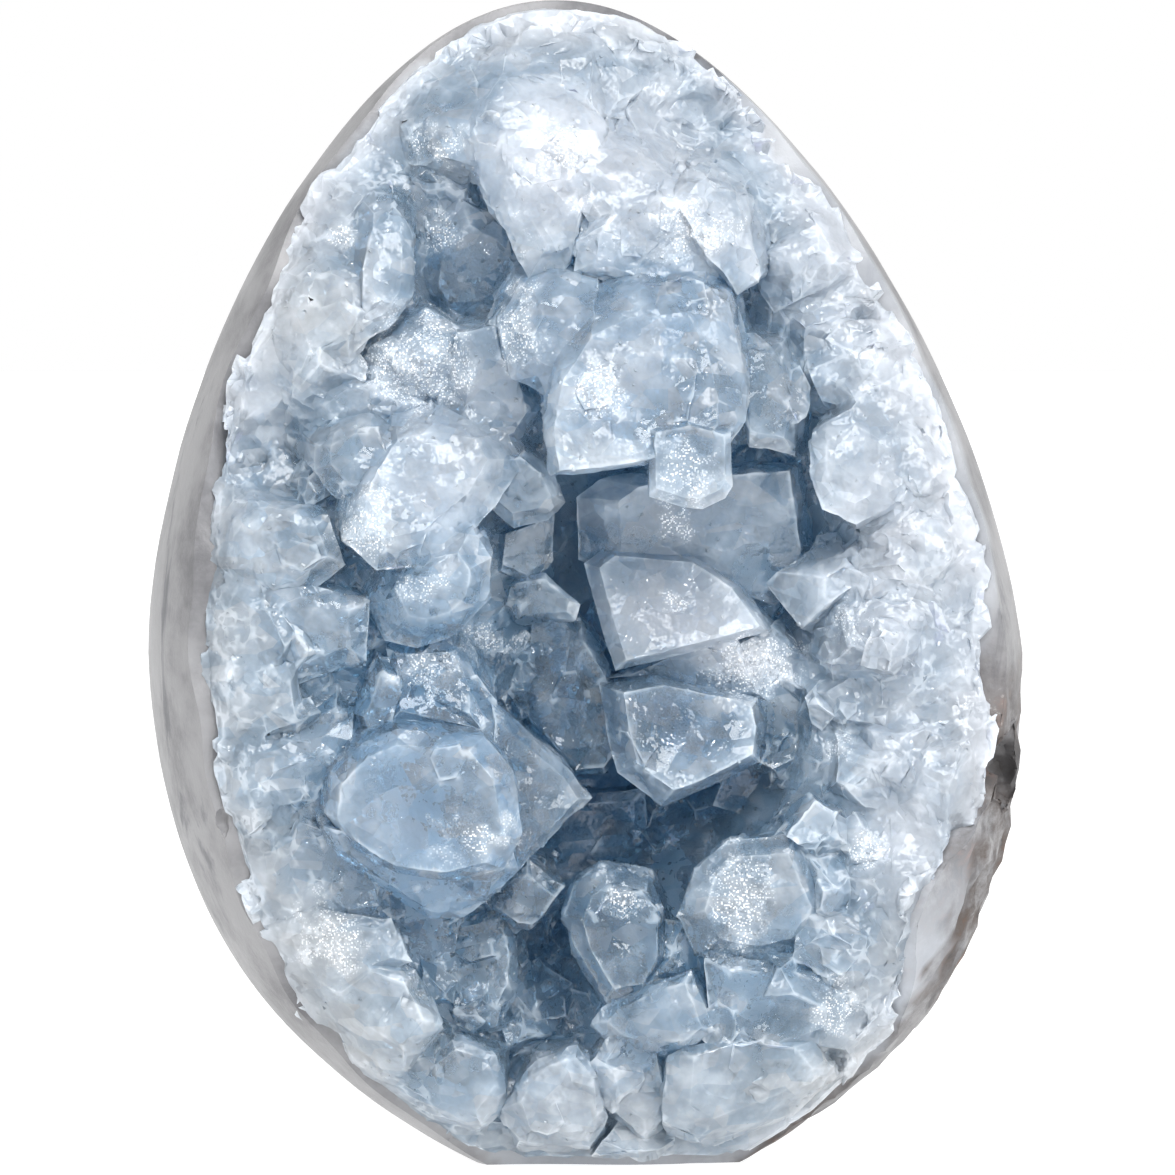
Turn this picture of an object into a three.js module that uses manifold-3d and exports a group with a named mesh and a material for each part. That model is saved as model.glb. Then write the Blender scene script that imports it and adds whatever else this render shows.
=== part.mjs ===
// A celestite geode worked to the shape of an egg and stood on its blunt end. A wall of pale rock
// is open at the front, and a crust of blocky celestite crystals lines the hollow.
// Millimetres, +Z up. The opening faces -Y. The origin is the middle of the ground foot.
// Places on the front are written as x, z and forward, where forward is the distance towards -Y.

import * as THREE from 'three';
import { ConvexGeometry } from 'three/addons/geometries/ConvexGeometry.js';
import { mergeVertices } from 'three/addons/utils/BufferGeometryUtils.js';
import Module from 'manifold-3d';

const wasm = await Module();
wasm.setup();

// The worked egg
const HEIGHT = 120;
const WAIST_HEIGHT = 52.7;
const HALF_WIDTH = 45.2;
const HALF_DEPTH = 38;
const BURIED_END = 4.3; // how far the blunt end would reach below the ground foot
const POINTED_TAPER = 0.21;
const BLUNT_TAPER = 0.33;
const BLUNT_SWELL = 0.03; // the blunt end is a little fuller than a ball below the waist
const LEAN_PER_MM = -0.047;
const LEAN_AT_FOOT = 1;

// The rock wall. Its broken front rim lies forward by a share of the egg's half depth.
const WALL = 6.5;
const CRUST_THICKNESS = 7; // from the rock's hollow to the crystals' roots at the front
const RIM_SHARE = 0.4;
const RIM_SHARE_PER_SIDE = -0.08; // from the middle to the right edge
const RIM_SHARE_TO_TIP = -0.17; // from the waist to the pointed end
const RIM_WAVE = 0.9;
const ROCK_LIP = { x: 36, z: 26, reachX: 12, reachZ: 9.5, share: 0.27 }; // bare, low on the right

const SHEET_ACROSS = 11; // how many steps the rock's and the crust's uneven front is made of
const SHEET_UP = 15;

// The crystal crust
const GAP = 0.5; // between the rock and the crust, measured towards the front
const CRUST_PROUD = 1.6; // how far the crust stands over the rim of the wall
const CRUST_INSET = 0.4; // the crust's edge lies this far inside the egg's own surface
const CRUST_BUMPS = 0.7; // single crystals may stand this far outside it
const ROOT_DEPTH = 3.5; // how far a crystal is rooted in the crust
const HOLLOWS = [
  { name: 'main', x: 1, z: 39, reachX: 15, reachZ: 13, depth: 20 },
  { name: 'blue', x: 7, z: 58, reachX: 16, reachZ: 14, depth: 13 },
  { name: 'lower', x: -5, z: 20, reachX: 7, reachZ: 10, depth: 14 },
  { name: 'right gap', x: 20.5, z: 67, reachX: 4, reachZ: 8, depth: 7 },
  { name: 'under the shelf', x: 2, z: 72, reachX: 12, reachZ: 8, depth: 8 },
  { name: 'upper right', x: 16.5, z: 82, reachX: 6, reachZ: 8, depth: 9 },
  { name: 'tip right', x: 8.5, z: 107, reachX: 5, reachZ: 6, depth: 4 },
  { name: 'upper left', x: -14, z: 92, reachX: 6, reachZ: 8, depth: 8 },
  { name: 'left', x: -33, z: 73, reachX: 5, reachZ: 7, depth: 6 },
];

// Pits where the wall has broken away
const PITS = [
  { name: 'right notch', at: [42.5, -9, 41], radius: 3.6, stretch: [0.8, 1.3, 1.2] },
  { name: 'right chip', at: [42.5, -14, 32], radius: 2.6, stretch: [0.9, 1.1, 1.6] },
  { name: 'left pit', at: [-39.4, -19.5, 36.5], radius: 2.4, stretch: [1, 1, 1.2] },
  { name: 'lower left pit', at: [-36.5, -18.5, 27], radius: 1.9, stretch: [0.8, 1, 1.7] },
  { name: 'back pit', at: [14, 36.5, 62], radius: 2.6, stretch: [1.5, 0.8, 1] },
  { name: 'back low pit', at: [-20, 30.5, 30], radius: 2.2, stretch: [1, 0.8, 1.5] },
];

// Each block is a single crystal that shows by itself. outline is its edge as seen from the front,
// [x, z]. Its front face is the same outline made smaller by inset and moved by shift, so a side
// face shows wherever the two lie apart. forward is where the middle of the front face lies, slope
// how the face tips for each mm to the right and up, and bevel how far behind it the edge lies.
// lean is how far the root is moved to the right and up.
const BLOCKS = [
  // the pale mass at the pointed end
  {
    name: 'tip block',
    forward: 8, slope: [-0.05, -0.5], bevel: 2, inset: 0.25, shift: [0.5, -1], lean: [0, 1],
    outline: [
      [-11.8, 116], [-4.1, 118.6], [1.5, 115.4], [3.6, 112.3], [3.6, 110.2], [0, 106.6], [-9, 107],
      [-12.3, 111],
    ],
  },
  {
    name: 'tip left block',
    forward: 13, slope: [0.22, -0.3], bevel: 2.2, inset: 0.3, shift: [0.8, -0.4], lean: [-1, 2],
    outline: [
      [-20, 107.2], [-18, 110.5], [-12.5, 111.4], [-10.3, 108], [-10.8, 103.6], [-13.4, 101.7],
      [-19, 102.6],
    ],
  },
  {
    name: 'long pale blade',
    forward: 18, slope: [-0.15, -0.3], bevel: 2.6, inset: 0.3, shift: [1.4, 0.6], lean: [1, 6],
    outline: [
      [-10.3, 113], [-1, 110.4], [0.4, 105.5], [-1.5, 99.4], [-2.6, 95.8], [-3.1, 92.2],
      [-7.2, 91.4], [-10.3, 96], [-13.4, 101], [-13, 108],
    ],
  },
  {
    name: 'rounded knob',
    forward: 18.5, slope: [-0.25, -0.15], bevel: 2.2, inset: 0.42, shift: [-0.6, -0.2], lean: [1, 3],
    outline: [
      [-2.6, 103], [0.5, 104.9], [4.1, 104.4], [6.7, 101.7], [8, 99.3], [5.1, 98.7], [2.1, 97.1],
      [-0.6, 96.3], [-2.4, 99],
    ],
  },
  {
    name: 'glassy step',
    forward: 19, slope: [-0.16, 0.1], bevel: 1.6, inset: 0.2, shift: [0.5, 0.6], lean: [0, 4],
    outline: [
      [-2.6, 92], [-2, 95.6], [1, 99], [6, 100.4], [12, 98.6], [13.4, 94], [12.3, 90.4], [4, 89.4],
    ],
  },
  {
    name: 'white lobe',
    forward: 19, slope: [-0.45, -0.12], bevel: 1.8, inset: 0.35, shift: [-0.7, -0.3], lean: [1, 2],
    outline: [
      [7.4, 99.7], [8.7, 102], [11, 102.6], [14.9, 100.4], [15.2, 97.2], [16.4, 91.2], [13.9, 89.8],
      [10.8, 92.6],
    ],
  },
  // the shelf that hangs over the hollow
  {
    name: 'striped shoulder',
    forward: 23, slope: [0.2, -0.2], bevel: 2.4, inset: 0.36, shift: [1.1, 0.3], lean: [-1, 5],
    outline: [
      [-10.4, 87], [-8.4, 91], [-4.8, 92], [0, 90.4], [0.6, 85], [-1.8, 81], [-5, 79.4],
      [-9.2, 81.4],
    ],
  },
  {
    name: 'shelf',
    forward: 25.6, slope: [-0.1, -0.22], bevel: 2.4, inset: 0.2, shift: [-1.3, -1.4], lean: [0, 8],
    outline: [
      [-5.3, 71.4], [4.7, 72.8], [13, 74.6], [14.8, 77.2], [15, 80.6], [13.7, 84.5], [13.3, 88.6],
      [10.6, 91], [4, 91], [-1, 88.6], [-4.6, 83], [-5.8, 77],
    ],
  },
  {
    name: 'hanging cube',
    forward: 27, slope: [-0.1, 0.06], bevel: 1, inset: 0.16, shift: [-0.1, 0.5], lean: [0, 7],
    outline: [
      [4.9, 76.4], [9, 77.2], [13.2, 76], [13.3, 70.6], [12.6, 69.4], [10.3, 68.3], [8.2, 68.5],
      [4.9, 69.6],
    ],
  },
  // the upper left
  {
    name: 'cream block',
    forward: 17, slope: [0.35, -0.25], bevel: 2.4, inset: 0.34, shift: [0.4, 0.9], lean: [-2, 2],
    outline: [
      [-30.8, 81.3], [-33.9, 87.2], [-32.6, 92.6], [-27.7, 93.6], [-24.2, 91.4], [-23.2, 85.4],
      [-26.6, 82.6],
    ],
  },
  {
    name: 'cream cap',
    forward: 12.5, slope: [0.3, -0.3], bevel: 1.4, inset: 0.3, shift: [0.5, -0.5], lean: [-1, 2],
    outline: [[-31.6, 92.4], [-30, 96.6], [-25.7, 98.4], [-23, 95], [-24.5, 91], [-28, 90.6]],
  },
  {
    name: 'milky slab',
    forward: 16.5, slope: [-0.12, -0.14], bevel: 1.5, inset: 0.26, shift: [-0.5, -0.2], lean: [-2, 2],
    outline: [
      [-24.4, 93.1], [-23.4, 98.5], [-20.4, 100.4], [-18.4, 95.9], [-18.9, 89.6], [-21.5, 86.2],
      [-24.2, 85],
    ],
  },
  {
    name: 'sunk blue block',
    forward: 9.5, slope: [0.14, 0.2], bevel: 2, inset: 0.24, shift: [0.8, -0.9], lean: [1, 2],
    outline: [
      [-18, 96.8], [-14.4, 99.6], [-10.4, 97], [-7.9, 91.6], [-8.8, 87.4], [-12.4, 85.6],
      [-16.4, 86.6], [-18.6, 91.5],
    ],
  },
  // the ridge across the left
  {
    name: 'ridge peak',
    forward: 17, slope: [0.1, 0.1], bevel: 3.2, inset: 0.66, shift: [0.6, 0.2], lean: [-1, 1],
    outline: [
      [-24.6, 83.5], [-21, 86.2], [-17.7, 88.5], [-14.2, 86.5], [-13, 82.2], [-16, 78.5],
      [-20.8, 77.6], [-25, 79.6],
    ],
  },
  {
    name: 'ridge step',
    forward: 18, slope: [0.15, 0.2], bevel: 2.2, inset: 0.35, shift: [0.7, -0.8], lean: [0, 2],
    outline: [
      [-14.6, 86], [-10.6, 86.6], [-7.8, 83.6], [-6.4, 78], [-8.4, 74.6], [-13.6, 73.8],
      [-16.4, 78],
    ],
  },
  {
    name: 'ridge foot',
    forward: 15.5, slope: [0.1, 0.3], bevel: 1.6, inset: 0.4, shift: [0.3, 0.4], lean: [-1, 1],
    outline: [
      [-31, 78.4], [-27, 81.4], [-22, 80.6], [-17.6, 78.6], [-18, 75.2], [-24, 75], [-30, 75.6],
    ],
  },
  {
    name: 'white fan left',
    forward: 20.5, slope: [0.25, -0.25], bevel: 2, inset: 0.3, shift: [0.6, 0.5], lean: [-1, 2],
    outline: [
      [-29.6, 74.8], [-26.2, 76.6], [-23.1, 77], [-19.8, 74.8], [-20.4, 70.4], [-23.1, 68.4],
      [-26.6, 69], [-29.5, 72],
    ],
  },
  {
    name: 'white fan middle',
    forward: 23.5, slope: [-0.12, -0.42], bevel: 2.6, inset: 0.3, shift: [-0.8, 1.4], lean: [0, 5],
    outline: [
      [-21, 76], [-15, 77.2], [-9.6, 76], [-7.6, 73], [-10.5, 68], [-14.5, 65.2], [-17, 62.8],
      [-22.8, 61.6], [-26, 65], [-24.8, 70],
    ],
  },
  {
    name: 'domed block',
    forward: 24.5, slope: [0.08, 0.1], bevel: 3, inset: 0.42, shift: [0.3, 0.4], lean: [-2, 4],
    outline: [
      [-21.4, 62.3], [-17.5, 65.4], [-12.8, 66.4], [-10.4, 63.4], [-11.1, 58.4], [-14.4, 55.3],
      [-18.5, 54], [-21.8, 54.9], [-23.4, 58.6],
    ],
  },
  {
    name: 'waist block',
    forward: 22, slope: [0, -0.35], bevel: 1.4, inset: 0.22, shift: [-0.6, 0.7], lean: [-1, 5],
    outline: [
      [-21.6, 54.2], [-14.2, 54.2], [-12.4, 51], [-10, 46], [-10.8, 44.3], [-13, 45.2], [-21, 46.6],
    ],
  },
  {
    name: 'waist chip',
    forward: 21.5, slope: [0.4, 0.1], bevel: 1.2, inset: 0.25, shift: [0.3, 0.2], lean: [-1, 3],
    outline: [[-22.3, 53], [-19.8, 50.5], [-20.8, 46.2], [-22.8, 43.2], [-24.7, 46.5], [-23.6, 49.6]],
  },
  // the large crystal low on the left
  {
    name: 'great crystal',
    forward: 27, slope: [0, 0.16], bevel: 2.4, inset: 0.17, shift: [-0.5, -0.2], lean: [-1, 2],
    outline: [
      [-27.2, 41.6], [-24, 44.9], [-20.4, 46.4], [-11.6, 45.6], [-8.6, 42], [-7.6, 35.5],
      [-9.6, 31.8], [-14.4, 30.6], [-20.6, 31.4], [-25.2, 34.2], [-27.8, 37.4],
    ],
  },
  {
    name: 'great crystal foot',
    forward: 22, slope: [0.02, 0.72], bevel: 1.2, inset: 0.12, shift: [0.2, 0.3], lean: [-1, 4],
    outline: [
      [-28.4, 36.2], [-20.6, 35], [-9, 34.6], [-8, 31.6], [-11.3, 28.1], [-14.2, 26], [-17.2, 26.1],
      [-21, 29], [-27.4, 33.6],
    ],
  },
  {
    name: 'great crystal flank',
    forward: 19.5, slope: [-0.55, 0.05], bevel: 1, inset: 0.15, shift: [-0.4, 0], lean: [-4, 2],
    outline: [
      [-10.8, 48.4], [-5.6, 43.6], [-2.6, 41.4], [-0.6, 38.4], [-3.1, 37.8], [-5.1, 35.5],
      [-11.3, 28.6], [-12, 38],
    ],
  },
  {
    name: 'hanging tooth',
    forward: 14, slope: [0.1, 0.3], bevel: 1.4, inset: 0.3, shift: [0.3, -0.5], lean: [-2, 4],
    outline: [
      [-11.6, 29.4], [-7.7, 32.7], [-3.6, 29.3], [-5.1, 26.8], [-6.7, 24.5], [-9, 25], [-11, 27],
    ],
  },
  // the blue crystals deep on the right
  {
    name: 'broad blue block',
    forward: 10, slope: [-0.12, 0.12], bevel: 3, inset: 0.2, shift: [2, 0.6], lean: [3, 1],
    outline: [
      [-2.5, 69], [0, 70.8], [5.1, 71.8], [19.3, 72.8], [20.8, 62.5], [19.7, 58], [17.5, 55.4],
      [12, 58.5], [-2.3, 62.5],
    ],
  },
  {
    name: 'pale lozenge',
    forward: 14, slope: [0.04, -0.3], bevel: 1.5, inset: 0.14, shift: [0.5, 0.3], lean: [2, 1],
    outline: [
      [-1.7, 62.3], [0.2, 63.7], [9.4, 62.9], [14, 60], [17.4, 55.4], [10.3, 54], [5.1, 52.2],
      [1.5, 51.4], [-0.4, 57.4],
    ],
  },
  {
    name: 'glitter ledge',
    forward: 12, slope: [0.1, 0.5], bevel: 0.9, inset: 0.2, shift: [0.5, 0.3], lean: [2, 0],
    outline: [[0.6, 50.4], [10.3, 54.8], [14, 54.8], [17, 48.2], [10.3, 48.2], [4.1, 49.6]],
  },
  {
    name: 'glitter chip',
    forward: 11, slope: [-0.5, 0.2], bevel: 0.8, inset: 0.2, shift: [-0.3, 0.2], lean: [2, 1],
    outline: [[14, 54.3], [17.5, 56], [20.9, 52.9], [16.6, 47.8]],
  },
  {
    name: 'trapezoid block',
    forward: 16, slope: [-0.08, -0.16], bevel: 2.4, inset: 0.2, shift: [0.9, 0.5], lean: [2, 1],
    outline: [
      [-0.2, 50], [5.1, 50.9], [16.1, 48.6], [16.9, 45.6], [16.4, 42], [10, 38.9], [6.2, 37.5],
      [1.6, 41], [0.6, 45],
    ],
  },
  {
    name: 'smooth blue flank',
    forward: 9.5, slope: [-0.4, 0], bevel: 1.2, inset: 0.2, shift: [-0.4, 0.3], lean: [3, 0],
    outline: [[15.4, 49.4], [20.6, 52], [21.9, 48.1], [21.4, 43.3], [17.5, 39.6]],
  },
  {
    name: 'deep blue block',
    forward: 9.5, slope: [0.36, -0.05], bevel: 1.8, inset: 0.18, shift: [0.7, -0.7], lean: [-3, 0],
    outline: [
      [-13.4, 53], [-7.2, 56.4], [-2, 56.6], [1, 52], [2.8, 44], [0.6, 40.6], [-3, 40.4],
      [-7, 44.6], [-11.8, 49.6],
    ],
  },
  {
    name: 'clear cube',
    forward: 18, slope: [-0.14, 0.25], bevel: 1.5, inset: 0.26, shift: [-0.4, 0.6], lean: [-2, 2],
    outline: [
      [-11.7, 71.8], [-7.6, 74.2], [-4.6, 71.6], [-3.4, 68.7], [-5, 66.6], [-8.7, 65.9],
      [-11.3, 68.2],
    ],
  },
  {
    name: 'clear cube foot',
    forward: 12.5, slope: [-0.2, 0.3], bevel: 0.8, inset: 0.2, shift: [-0.3, 0.3], lean: [-3, 1],
    outline: [[-10, 65.8], [-4.6, 67.4], [-4.6, 62.6], [-7.2, 60.2], [-10.4, 61.6]],
  },
  {
    name: 'blue splinter',
    forward: 12, slope: [0.4, 0.3], bevel: 1, inset: 0.3, shift: [0.3, 0.3], lean: [-3, 0],
    outline: [[-10.6, 60.6], [-5.5, 61.4], [-2, 58.2], [-2.4, 56.4], [-8, 56], [-11.4, 57.6]],
  },
  // round the lower hollow
  {
    name: 'clear tall block',
    forward: 17, slope: [0, -0.08], bevel: 1.9, inset: 0.24, shift: [0.5, -0.3], lean: [1, -2],
    outline: [
      [-3.9, 26.5], [-2.6, 30.3], [0, 32.2], [5.3, 31.2], [6.6, 27], [6.6, 22.2], [4.6, 18.4],
      [0.5, 17.6], [-2.6, 22.2],
    ],
  },
  {
    name: 'pale wedge',
    forward: 18, slope: [-0.16, 0.1], bevel: 2.4, inset: 0.3, shift: [0.4, 0.3], lean: [2, -1],
    outline: [
      [7.7, 26.6], [9.2, 31.6], [13, 35], [20, 34.9], [20.8, 30.4], [23.4, 27], [20.5, 22.4],
      [16, 21.2], [10, 22.3],
    ],
  },
  {
    name: 'left-pointing blade',
    forward: 18, slope: [0.2, 0.12], bevel: 1.4, inset: 0.24, shift: [0.3, 0.2], lean: [3, -1],
    outline: [[-1.4, 15.6], [0.4, 17.6], [9.2, 21.4], [11.7, 15], [9.2, 13.3], [5.1, 12.7], [1, 13.7]],
  },
  {
    name: 'low right block',
    forward: 17.5, slope: [-0.25, 0.12], bevel: 2, inset: 0.32, shift: [0, 0.6], lean: [2, -1],
    outline: [[10.4, 22.6], [20.6, 22], [26.8, 18.8], [25, 13.4], [17, 11.2], [11.4, 13]],
  },
  {
    name: 'hollow floor',
    forward: 2, slope: [-0.25, 0.25], bevel: 1, inset: 0.15, shift: [0, 0], lean: [-1, 0],
    outline: [[-10.8, 27.5], [-4.4, 38], [4.8, 38.6], [4.5, 31], [-3.8, 28.8], [-6.9, 24.6]],
  },
  // the lower left
  {
    name: 'grey blue block',
    forward: 19, slope: [0.2, 0.12], bevel: 1.6, inset: 0.24, shift: [0.5, 0.5], lean: [-1, 0],
    outline: [[-35.4, 31], [-33.6, 35.2], [-29, 36.2], [-21.4, 31], [-21.2, 26.4], [-32.4, 24.2]],
  },
  {
    name: 'striped column',
    forward: 12.5, slope: [0.15, 0], bevel: 1.9, inset: 0.28, shift: [0.5, 0.3], lean: [-1, 1],
    outline: [
      [-17.2, 21.2], [-15.6, 26.6], [-10.3, 27.8], [-8.2, 22.4], [-8.5, 18.3], [-10.6, 14.4],
      [-15.6, 14.8],
    ],
  },
  {
    name: 'cream wedge',
    forward: 20.8, slope: [0.2, 0.14], bevel: 2.4, inset: 0.34, shift: [0.5, 0.6], lean: [-1, -1],
    outline: [
      [-30.3, 15.4], [-29.4, 19.2], [-24, 23.4], [-18.4, 21.6], [-15.6, 15.8], [-19.3, 11.2],
      [-22.4, 9], [-26.7, 10.2],
    ],
  },
  {
    name: 'sugary bank',
    forward: 19.8, slope: [0.3, 0.2], bevel: 1.2, inset: 0.3, shift: [0.3, 0.3], lean: [-1, 0],
    outline: [
      [-34.6, 25], [-29, 27.6], [-21, 26.6], [-18.8, 22.4], [-25.7, 20.2], [-30.4, 17.6], [-33, 20],
    ],
  },
  // the bottom edge
  {
    name: 'foot left block',
    forward: 16, slope: [0.1, 0.3], bevel: 1.5, inset: 0.3, shift: [0.2, 0.4], lean: [0, -1],
    outline: [[-18.4, 11.6], [-15.2, 14], [-10.1, 13], [-9.6, 8.5], [-12.4, 4], [-17.6, 5.6]],
  },
  {
    name: 'foot middle block',
    forward: 15.5, slope: [0.05, 0.3], bevel: 1.8, inset: 0.26, shift: [0.3, 0.5], lean: [0, -1],
    outline: [[-9.9, 6.8], [-6.6, 12.4], [-2.4, 13.8], [0, 10.1], [0.6, 4.9], [-1, 2.2], [-8.7, 2.2]],
  },
  {
    name: 'foot blade',
    forward: 15, slope: [-0.3, 0.3], bevel: 1, inset: 0.22, shift: [0.3, 0.3], lean: [0, -1],
    outline: [[-0.6, 12.1], [1.2, 14.8], [6.4, 13.6], [7.4, 7], [4.6, 3.6], [0.4, 7.2]],
  },
  {
    name: 'foot right block',
    forward: 17, slope: [-0.15, 0.3], bevel: 1.8, inset: 0.3, shift: [0.4, 0.8], lean: [1, -1],
    outline: [[6.8, 12.5], [14, 15], [21.6, 13.8], [24.4, 10.4], [18.5, 5.4], [10.3, 2.6], [6.2, 5.2]],
  },
  // the right bank
  {
    name: 'pocket wall',
    forward: 14, slope: [-0.4, 0], bevel: 1.4, inset: 0.25, shift: [-0.4, 0.3], lean: [3, 1],
    outline: [[13.4, 85.6], [18.5, 84.9], [21, 78.9], [19.9, 73.2], [15.2, 74.2], [14, 80]],
  },
  {
    name: 'pocket edge',
    forward: 16, slope: [-0.2, -0.1], bevel: 1.7, inset: 0.32, shift: [0.4, 0.4], lean: [3, 1],
    outline: [
      [21.2, 75.8], [25.7, 79], [30.4, 76.4], [29.6, 68.2], [25.7, 65.8], [22.2, 67.7],
      [20.9, 71.7],
    ],
  },
  // the left bank
  {
    name: 'left shoulder',
    forward: 21.5, slope: [0.2, 0.1], bevel: 1.7, inset: 0.36, shift: [0.5, 0.3], lean: [-1, 0],
    outline: [[-38, 66.6], [-34.7, 69.4], [-27.4, 67.6], [-25.6, 62.5], [-30.8, 58.6], [-37.6, 60.2]],
  },
  {
    name: 'left hip',
    forward: 21.8, slope: [0.2, 0.05], bevel: 1.7, inset: 0.36, shift: [0.5, 0.3], lean: [-1, 0],
    outline: [[-37.8, 58.4], [-30.8, 61], [-23.2, 59], [-23.6, 52.8], [-30.8, 50.4], [-37, 52.4]],
  },
  {
    name: 'white tooth',
    forward: 21.3, slope: [0.1, -0.1], bevel: 1.2, inset: 0.3, shift: [0.2, 0.4], lean: [-1, 1],
    outline: [[-37.9, 42], [-34, 45.6], [-32.7, 37.6], [-36, 34], [-37.9, 37.6]],
  },
  {
    name: 'left blue column',
    forward: 18.8, slope: [0.2, 0], bevel: 1.7, inset: 0.3, shift: [0.6, 0.4], lean: [-1, 1],
    outline: [[-32.8, 47.1], [-26.7, 50], [-23.2, 44.2], [-25.8, 34.2], [-30.8, 34.6], [-33.6, 41.9]],
  },
  {
    name: 'left ledge',
    forward: 21, slope: [0.25, 0.2], bevel: 1.4, inset: 0.3, shift: [0.3, 0.4], lean: [-1, 0],
    outline: [[-37.8, 52.4], [-30.8, 53], [-29.8, 46], [-37.6, 44]],
  },
];

// Celestite grows in flat faces that always stand at the same angles. Axis lengths of its cell
// give the direction of each face from its three whole numbers.
const CELL = [8.36, 5.35, 6.87];
const FORMS = [
  { indices: [0, 0, 1], reach: 0.62 },
  { indices: [2, 1, 0], reach: 0.8 },
  { indices: [0, 1, 1], reach: 0.86 },
];
const FACE_SPREAD = 0.16; // how far one crystal's faces differ from the next one's
const SIGNS = [
  [1, 1, 1], [1, 1, -1], [1, -1, 1], [1, -1, -1],
  [-1, 1, 1], [-1, 1, -1], [-1, -1, 1], [-1, -1, -1],
];

// The bank of smaller crystals between the blocks
const BANK_SEED = 5;
const BANK_STEP = 8.5;
const BANK_JITTER = 0.42;
const BANK_SIZES = [3.2, 5.6];
const BANK_SUNK = [0.2, 0.75]; // how far a crystal's middle lies behind the crust, in its sizes
const BANK_LENGTHEN = 1.35;
const BANK_TIP = 0.75; // radians that a crystal may tip from the crust's own direction
const BANK_EDGE = 2.2; // the least distance from a bank crystal's middle to the egg's outline

function randomFrom(seed) {
  let state = seed;
  return () => {
    state = (state * 1664525 + 1013904223) % 4294967296;
    return state / 4294967296;
  };
}

function solidFrom(geometry) {
  const bare = geometry.index ? geometry.toNonIndexed() : geometry.clone();
  bare.deleteAttribute('normal');
  bare.deleteAttribute('uv');
  const merged = mergeVertices(bare, 1e-4);
  return new wasm.Manifold(
    new wasm.Mesh({
      numProp: 3,
      vertProperties: new Float32Array(merged.attributes.position.array),
      triVerts: new Uint32Array(merged.index.array),
    }),
  );
}

// The solid's largest closed surface alone, so that loose chips and sealed bubbles drop out.
function geometryFrom(solid) {
  const { vertProperties, triVerts } = solid.getMesh();
  const group = Array.from({ length: vertProperties.length / 3 }, (_, i) => i);
  const groupOf = (i) => {
    let top = i;
    while (group[top] !== top) {
      top = group[top];
    }
    group[i] = top;
    return top;
  };
  for (let i = 0; i < triVerts.length; i += 3) {
    group[groupOf(triVerts[i + 1])] = groupOf(triVerts[i]);
    group[groupOf(triVerts[i + 2])] = groupOf(triVerts[i]);
  }
  const triangles = new Map();
  for (let i = 0; i < triVerts.length; i += 3) {
    const name = groupOf(triVerts[i]);
    if (!triangles.has(name)) {
      triangles.set(name, []);
    }
    triangles.get(name).push(...triVerts.slice(i, i + 3));
  }
  const largest = [...triangles.values()].reduce((a, b) => (b.length > a.length ? b : a));
  const geometry = new THREE.BufferGeometry();
  geometry.setAttribute('position', new THREE.BufferAttribute(new Float32Array(vertProperties), 3));
  geometry.setIndex(largest);
  return mergeVertices(geometry.toNonIndexed(), 1e-4);
}

function joined(solids) {
  return solids.reduce((whole, next) => whole.add(next));
}

function leanAt(z) {
  return LEAN_AT_FOOT + LEAN_PER_MM * z;
}

// How wide the egg is at a share of its height above or below the waist, as a share of its widest.
function fullness(share) {
  const round = Math.sqrt(Math.max(0, 1 - share * share));
  if (share > 0) {
    return round * (1 - POINTED_TAPER * share ** 1.3);
  }
  return round * (1 + BLUNT_SWELL * Math.abs(share) - BLUNT_TAPER * share ** 6);
}

// The egg, or a smaller one inside it, with its blunt end cut off flat at the foot.
function egg(inset, segments, rings) {
  const upper = HEIGHT - WAIST_HEIGHT - inset;
  const lower = WAIST_HEIGHT + BURIED_END - inset;
  const geometry = new THREE.SphereGeometry(1, segments, rings).rotateX(Math.PI / 2);
  const places = geometry.attributes.position;
  for (let i = 0; i < places.count; i += 1) {
    const share = THREE.MathUtils.clamp(places.getZ(i), -1, 1);
    const around = Math.atan2(places.getY(i), places.getX(i));
    const z = WAIST_HEIGHT + share * (share > 0 ? upper : lower);
    const wide = (HALF_WIDTH - inset) * fullness(share);
    const deep = (HALF_DEPTH - inset) * fullness(share);
    places.setXYZ(i, leanAt(z) + wide * Math.cos(around), deep * Math.sin(around), z);
  }
  return solidFrom(geometry);
}

function box(width, depth, height, x, y, z) {
  return solidFrom(new THREE.BoxGeometry(width, depth, height).translate(x, y, z));
}

function aboveFoot(solid, foot) {
  return solid.subtract(box(200, 200, 40, 0, 0, foot - 20));
}

function hump(x, z, { x: atX, z: atZ, reachX, reachZ }) {
  return Math.exp(-(((x - atX) / reachX) ** 2 + ((z - atZ) / reachZ) ** 2));
}

function heightShare(z, inset) {
  const reach = z > WAIST_HEIGHT ? HEIGHT - WAIST_HEIGHT : WAIST_HEIGHT + BURIED_END;
  return (z - WAIST_HEIGHT) / (reach - inset);
}

function rimForward(x, z) {
  const full = Math.max(0.15, fullness(heightShare(z, 0)));
  const side = THREE.MathUtils.clamp((x - leanAt(z)) / (HALF_WIDTH * full), -1.1, 1.1);
  const toTip = Math.max(0, heightShare(z, 0));
  const share = RIM_SHARE + RIM_SHARE_PER_SIDE * side + RIM_SHARE_TO_TIP * toTip;
  const lip = ROCK_LIP.share * hump(x, z, ROCK_LIP);
  const wave = Math.sin(0.31 * x + 0.2 * z) + Math.sin(0.47 * z - 0.23 * x + 1.7);
  return HALF_DEPTH * full * (share + lip) + (RIM_WAVE * wave) / 2;
}

function dugOut(x, z) {
  return HOLLOWS.reduce((sum, hollow) => sum + hollow.depth * hump(x, z, hollow), 0);
}

function crustForward(x, z) {
  return rimForward(x, z) + CRUST_PROUD - dugOut(x, z);
}

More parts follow.
